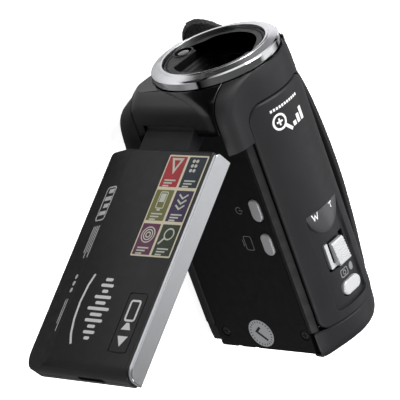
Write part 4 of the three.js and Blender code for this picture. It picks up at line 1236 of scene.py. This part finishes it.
def make_case_marks():
    u, v = side_key("power_button")
    power = [ribbon(arc(u + 0.4, v - 7.6, 1.25, 130, 410, 24), 0.26),
             bar(u + 0.27, u + 0.53, v - 7.6, v - 6.0)]
    mark("power_symbol", power, on_side, "case", GREY_INK)
    u, v = side_key("display_button")
    frame_line = ribbon(round_rect(u - 2.6, u + 2.6, v - 10.0, v - 6.8, 0.5, 4), 0.26, 0.05, True)
    foot_line = bar(u - 1.3, u + 1.3, v - 10.9, v - 10.6)
    mark("display_symbol", [frame_line, foot_line], on_side, "case", GREY_INK)
    u, v = SEAL_AT
    mark("check_seal", [patch(circle(u, v, 5.3, 64), 0.07)], on_side, "case", FOIL)
    ticks = []
    for k in range(24):
        turn = 2 * pi * k / 24
        ticks.append(ribbon([(u + r * cos(turn), v + r * sin(turn)) for r in (4.1, 4.8)], 0.3, 0.03))
    ticks.append(ribbon([(u - 2.4, v + 0.2), (u - 0.6, v - 1.8), (u + 2.6, v + 2.2)], 0.9, 0.03))
    mark("check_seal_print", ticks, lambda u, v, h: on_side(u, v, h + 0.07), "case", DARK)
    outline = [(94, -21.8), (93.6, -9.4), (70.7, 5.3)]
    mark("side_score_line", [ribbon(outline, 0.16, 0.03)], on_side, "case", SIDE)

    zoom = [ribbon(circle(5.4, 22.4, 2.5, 48), 0.75, 0.05, True), ribbon([(3.5, 24.4), (1.2, 27.0)], 1.1),
            bar(4.2, 6.6, 22.1, 22.7), bar(5.1, 5.7, 21.2, 23.6)]
    zoom += [bar(-1.2 - k * 2.2, 0.3 - k * 2.2, 26.6 - 1.5 * (k + 1), 26.6) for k in range(3)]
    zoom += [bar(-5.6 + 1.25 * k, -4.8 + 1.25 * k, 17.4, 18.3, 0.04) for k in range(11)]
    crown_mark("zoom_symbol", zoom, WHITE_INK)
    wide = ribbon([(5.9, 57.2), (5.2, 59.4), (4.6, 57.9), (4.0, 59.4), (3.3, 57.2)], 0.35)
    tele = [bar(-4.6, -2.8, 57.3, 57.65), bar(-3.88, -3.52, 57.6, 59.3)]
    letters = [([on_rest(*p) for p in verts], faces) for verts, faces in (wide, *tele)]
    crown_mark("zoom_letters", letters, WHITE_INK)
    camera = [ribbon(round_rect(-2.6, 1.2, 81.4, 84.0, 0.5, 4), 0.35, 0.05, True),
              ribbon(circle(-0.7, 82.7, 0.7, 24), 0.3, 0.05, True),
              patch(round_rect(-6.4, -4.0, 81.3, 84.1, 1.1, 8), 0.05)]
    sunk = [([(a, b, h - TROUGH_DEPTH) for a, b, h in part[0]], part[1]) for part in camera]
    crown_mark("photo_symbol", sunk, GREY_INK)


# ---- hand strap ---------------------------------------------------------------------------

STRAP_PATH = [
    (-21.2, -0.2, -27.4, 45), (-24.6, 7, -27.4, 44), (-29.2, 13.5, -24.0, 38), (-33.8, 22, -20.0, 27),
    (-36.2, 33, -16.6, 16), (-36.6, 49, -13.6, 8), (-35.4, 66, -11.2, 4), (-33.4, 82, -10, 2),
    (-31.8, 94, -9.6, 0), (-30.6, 100.5, -9.5, 0), (-28.0, 104.4, -9.5, 0), (-25.0, 106.2, -9.5, 0),
]
STRAP_HALF = 12.0
STRAP_THICK = 2.4
TONGUE_R = 30.0  # how far back the rounded front end keeps widening
FUZZ, TIP_FUZZ, TIP_LONG, FUZZ_PITCH = 0.05, 0.4, 14, 2.1  # the cut end is the most frayed


def strap_frames(steps):
    """Centre, width direction, thickness direction and half width along the strap."""
    rows = smooth_rows(STRAP_PATH, steps)
    points = [Vector(row[:3]) for row in rows]
    for k, row in enumerate(rows):
        ahead = (points[min(k + 1, len(rows) - 1)] - points[max(k - 1, 0)]).normalized()
        lean = radians(row[3])
        wide = Vector((-sin(lean), 0, cos(lean)))
        from_tip = min(1.0, (row[1] - STRAP_PATH[0][1] + 0.02) / TONGUE_R)
        half = STRAP_HALF * sqrt(1 - (1 - from_tip) ** 2)
        yield points[k], wide, wide.cross(ahead).normalized(), half


def lay_out(mesh, frames):
    """Gives the strap UVs in millimetres: how far along it, and how far across."""
    layer = mesh.uv_layers.new(name="UVMap")
    run = [0.0]
    for k in range(1, len(frames)):
        run.append(run[-1] + (frames[k][0] - frames[k - 1][0]).length)
    places = [f[0] for f in frames]
    nearest = {}
    for v in mesh.vertices:
        k = min(range(len(places)), key=lambda i: (places[i] - v.co).length_squared)
        nearest[v.index] = (run[k], (v.co - places[k]).dot(frames[k][1]))
    for corner in mesh.loops:
        layer.data[corner.index].uv = nearest[corner.vertex_index]


def make_strap():
    rows = []
    frames = list(strap_frames(20))
    h = STRAP_THICK / 2
    for at, wide, thick, half in frames:
        # round edge, a flat face, and a slit between the two layers that are sewn together
        edge = [(1.0, -0.04), (1.0, -0.12), (0.995, -0.75), (0.975, -0.95)]
        side = [(a * half, b * h) for a, b in edge] + [(half * (0.92 - 0.046 * k), -h) for k in range(41)]
        mirrored = [(-a * half, b * h) for a, b in edge[::-1]]
        lower = side + mirrored
        upper = [(a, -b) for a, b in lower[::-1]]
        slit = max(half - 0.5, half * 0.3)
        loop = lower + [(-slit, 0.0)] + upper + [(slit, 0.0)]
        rows.append([tuple(at + wide * a + thick * b) for a, b in loop])
    strap = solid(skin(rows))
    mesh = strap.data
    for v in mesh.vertices:
        near = (v.co.y - STRAP_PATH[0][1]) / TIP_LONG
        lift = FUZZ + TIP_FUZZ * max(0.0, 1 - near)
        v.co += v.normal * lift * noise.fractal(v.co * FUZZ_PITCH, 0.8, 2.0, 3)
    lay_out(mesh, frames)
    dress("strap_webbing", strap, "case", STRAP, ["hand_strap"], sharp=60)

    stitches = []
    for side in (-1, 1):
        for k in range(18, len(frames) - 4, 2):
            at, wide, thick, half = frames[k]
            start = at + wide * side * (half - 1.9) + thick * (h + 0.06)
            along = (frames[k + 1][0] - at) * 0.55
            stitches.append(capsule(start - along / 2, start + along / 2, 0.17))
    dress("strap_stitching", solid(together(*stitches)), "case", THREAD, sharp=80)

    for node, name in (("strap_loop_rear", "rear_loop"), ("strap_loop_front", "front_loop")):
        low, high = lens_box(node)
        loop = solid(prism(round_rect(low.y, high.y, low.z, high.z, 1.4), "x", low.x, high.x, (0.6, 0.1)))
        dress(name, loop, "case", DARK, [node])


def capsule(start, end, r, sides=8):
    """A short round-ended thread between two points."""
    axis = (end - start).normalized()
    side = axis.orthogonal().normalized()
    up = axis.cross(side)
    rows = []
    for at, size in ((-0.8, 0.35), (-0.4, 0.8), (0.0, 1.0), (1.0, 1.0), (1.4, 0.8), (1.8, 0.35)):
        centre = start.lerp(end, min(1, max(0, at))) + axis * r * (min(0, at) + max(0, at - 1))
        turns = [2 * pi * k / sides for k in range(sides)]
        rows.append([tuple(centre + (side * cos(t) + up * sin(t)) * r * size) for t in turns])
    return skin(rows)


# ---- CAD nodes that stay, mostly inside ------------------------------------------------------


def dress_frame():
    """Materials and rounded edges for the nodes that show as they are."""
    wrap = finish("battery_wrap", "24272e", 0.35, grain=0.6, depth=0.004)
    gold = finish("contact_gold", "c8a24a", 0.25, metal=1.0, grain=0.4, depth=0.002)
    board = circuit("board_mask", "143a22")
    card = finish("card_plastic", "1f2c44", 0.4, grain=0.3, depth=0.006)
    led = finish("led_resin", "d7cf70", 0.3, grain=0.5, depth=0.002)
    tray = finish("display_tray", "8f9295", 0.35, metal=0.8, grain=0.4, depth=0.003)
    looks = {
        "rear_lens": LENS_GLASS, "image_sensor": SCREEN_GLASS, "sensor_board": board, "lamp_led": led,
        "microphone": STEEL, "display_module": tray, "twist_shaft": STEEL, "hinge_pin": STEEL,
        "hinge_bracket": STEEL, "pad_pivot": DARK, "usb_socket": STEEL, "video_socket": STEEL,
        "rear_board": board, "main_board": board, "battery": wrap, "battery_contacts": gold,
        "card_socket": STEEL, "memory_card": card, "speaker": DARK,
    }
    for node, look in looks.items():
        obj = frame["nodes"][node]
        obj.data.materials.clear()
        obj.data.materials.append(look)
        edge = obj.modifiers.new("edges", "BEVEL")
        edge.width = 0.12 * MM
        edge.segments = 2
        edge.limit_method = "ANGLE"
        edge.angle_limit = radians(50)


# ---- stage ---------------------------------------------------------------------------------------


CAMERA_AT = Vector((0.54253, -0.33831, 0.60459))
CAMERA_AIM = Vector((0.0243, -0.0119, 0.03))
CAMERA_ROLL = 93.14
CAMERA_LENS = 230.5
FLOOR_HALF = 2.0
FLOOR_DROP = 0.0005
PAPER_GLOW = 0.78
# name, place, width, height, watts, and whether it shows in gloss
SOFTBOXES = [
    ("key_softbox", (-0.35, -0.75, 0.85), 0.5, 0.5, 9, True),
    ("overhead_softbox", (-0.2, 0.35, 1.0), 0.7, 0.6, 10, False),
    ("side_strip", (0.75, 0.6, 0.5), 0.3, 0.7, 4, True),
]
SKY_SIDE = (-0.71, -0.67, -0.2)  # towards the lit half of the studio


def grey(level, blue=0.0):
    return level, level, level + blue, 1


def painted_reflection_floor(tree):
    """What gloss and shade see of the table: a painted pale patch by the lens and painted dark patches
    further out, which paint the reflections in the ring and the gloss.
    """
    spot = add(tree, "SeparateXYZ", {0: add(tree, "TexCoord").outputs["Object"]}).outputs
    # painted reflection: pale near the lens, dark further out, by place on the floor
    beside = ranged(tree, spot["Y"], 0, 1, -0.055, -0.03)
    near = mixed(tree, beside, grey(0.6, 0.01), grey(0.2, 0.005))
    far = mixed(tree, ranged(tree, spot["X"], 0, 1, -0.09, -0.06), grey(0.16, 0.005), grey(0.02))
    shown = mixed(tree, ranged(tree, spot["Y"], 0, 1, -0.115, -0.095), far, near)
    return add(tree, "BsdfDiffuse", {"Color": shown}).outputs[0]


def make_floor():
    floor = bpy.data.objects.new("floor", bpy.data.meshes.new("floor"))
    corners = [(a * FLOOR_HALF, b * FLOOR_HALF, 0) for a, b in ((-1, -1), (1, -1), (1, 1), (-1, 1))]
    floor.data.from_pydata(corners, [], [(0, 1, 2, 3)])
    floor.location.z = -FLOOR_DROP
    bpy.context.scene.collection.objects.link(floor)
    material, tree, shader = new_material("floor_paper")
    shade = mixed(tree, grains(tree, 40.0, 3.0), grey(0.93), grey(0.96))
    tree.links.new(shade, shader.inputs["Base Color"])
    shader.inputs["Roughness"].default_value = 0.9
    shader.inputs["Emission Color"].default_value = grey(1)
    shader.inputs["Emission Strength"].default_value = PAPER_GLOW
    # gloss and bounced rays see the painted reflection floor, the camera sees the pale paper
    path = add(tree, "LightPath").outputs
    rays = {0: path["Is Glossy Ray"], 1: path["Is Diffuse Ray"]}
    bounced = add(tree, "Math", rays, operation="MAXIMUM").outputs[0]
    both = add(tree, "MixShader", {0: bounced, 1: shader.outputs[0], 2: painted_reflection_floor(tree)}).outputs[0]
    tree.links.new(both, tree.nodes["Material Output"].inputs["Surface"])
    floor.data.materials.append(material)


def make_world():
    """Soft light from above the horizon, most of it from one side."""
    world = bpy.data.worlds.new("studio")
    bpy.context.scene.world = world
    world.use_nodes = True
    sky = world.node_tree
    facing = add(sky, "TexCoord").outputs["Generated"]
    height = add(sky, "SeparateXYZ", {0: facing}).outputs["Z"]
    risen = ranged(sky, height, 0.0, 1.0, 0.05, 0.4)
    side = add(sky, "VectorMath", {0: facing, 1: SKY_SIDE}, operation="DOT_PRODUCT").outputs["Value"]
    lit = ranged(sky, side, 0.1, 1.0, -0.06, 0.06)
    glow = add(sky, "Math", {0: risen, 1: lit}, operation="MULTIPLY").outputs[0]
    sky.links.new(glow, sky.nodes["Background"].inputs["Strength"])
    sky.nodes["Background"].inputs["Color"].default_value = grey(1)


def aimed(obj, at, aim):
    """Links an object that looks along its own -Z, and points it."""
    bpy.context.scene.collection.objects.link(obj)
    obj.location = at
    obj.rotation_mode = "QUATERNION"
    obj.rotation_quaternion = (Vector(aim) - Vector(at)).to_track_quat("-Z", "Y")


def make_lamps():
    middle = (cad_low + cad_high) / 2
    for name, at, width, height, power, in_gloss in SOFTBOXES:
        light = bpy.data.lights.new(name, "AREA")
        light.shape = "RECTANGLE"
        light.size = width
        light.size_y = height
        light.energy = power
        obj = bpy.data.objects.new(name, light)
        aimed(obj, at, middle)
        obj.visible_glossy = in_gloss


def make_camera():
    scene = bpy.context.scene
    camera = bpy.data.objects.new("camera", bpy.data.cameras.new("camera"))
    camera.data.sensor_width = 36
    camera.data.lens = CAMERA_LENS
    camera.data.clip_start, camera.data.clip_end = 0.05, 20
    aimed(camera, CAMERA_AT, CAMERA_AIM)
    camera.rotation_quaternion = camera.rotation_quaternion @ Quaternion((0, 0, 1), radians(CAMERA_ROLL))
    scene.camera = camera
    scene.view_settings.view_transform = "Standard"


make_lens()
make_front()
make_side()
make_grip()
make_top()
make_thumb_rest()
make_top_keys()
make_rear()
make_rear_keys()
make_side_keys()
make_screen()
make_hinge()
make_cover_marks()
make_case_marks()
make_strap()
dress_frame()
make_floor()
make_world()
make_lamps()
make_camera()
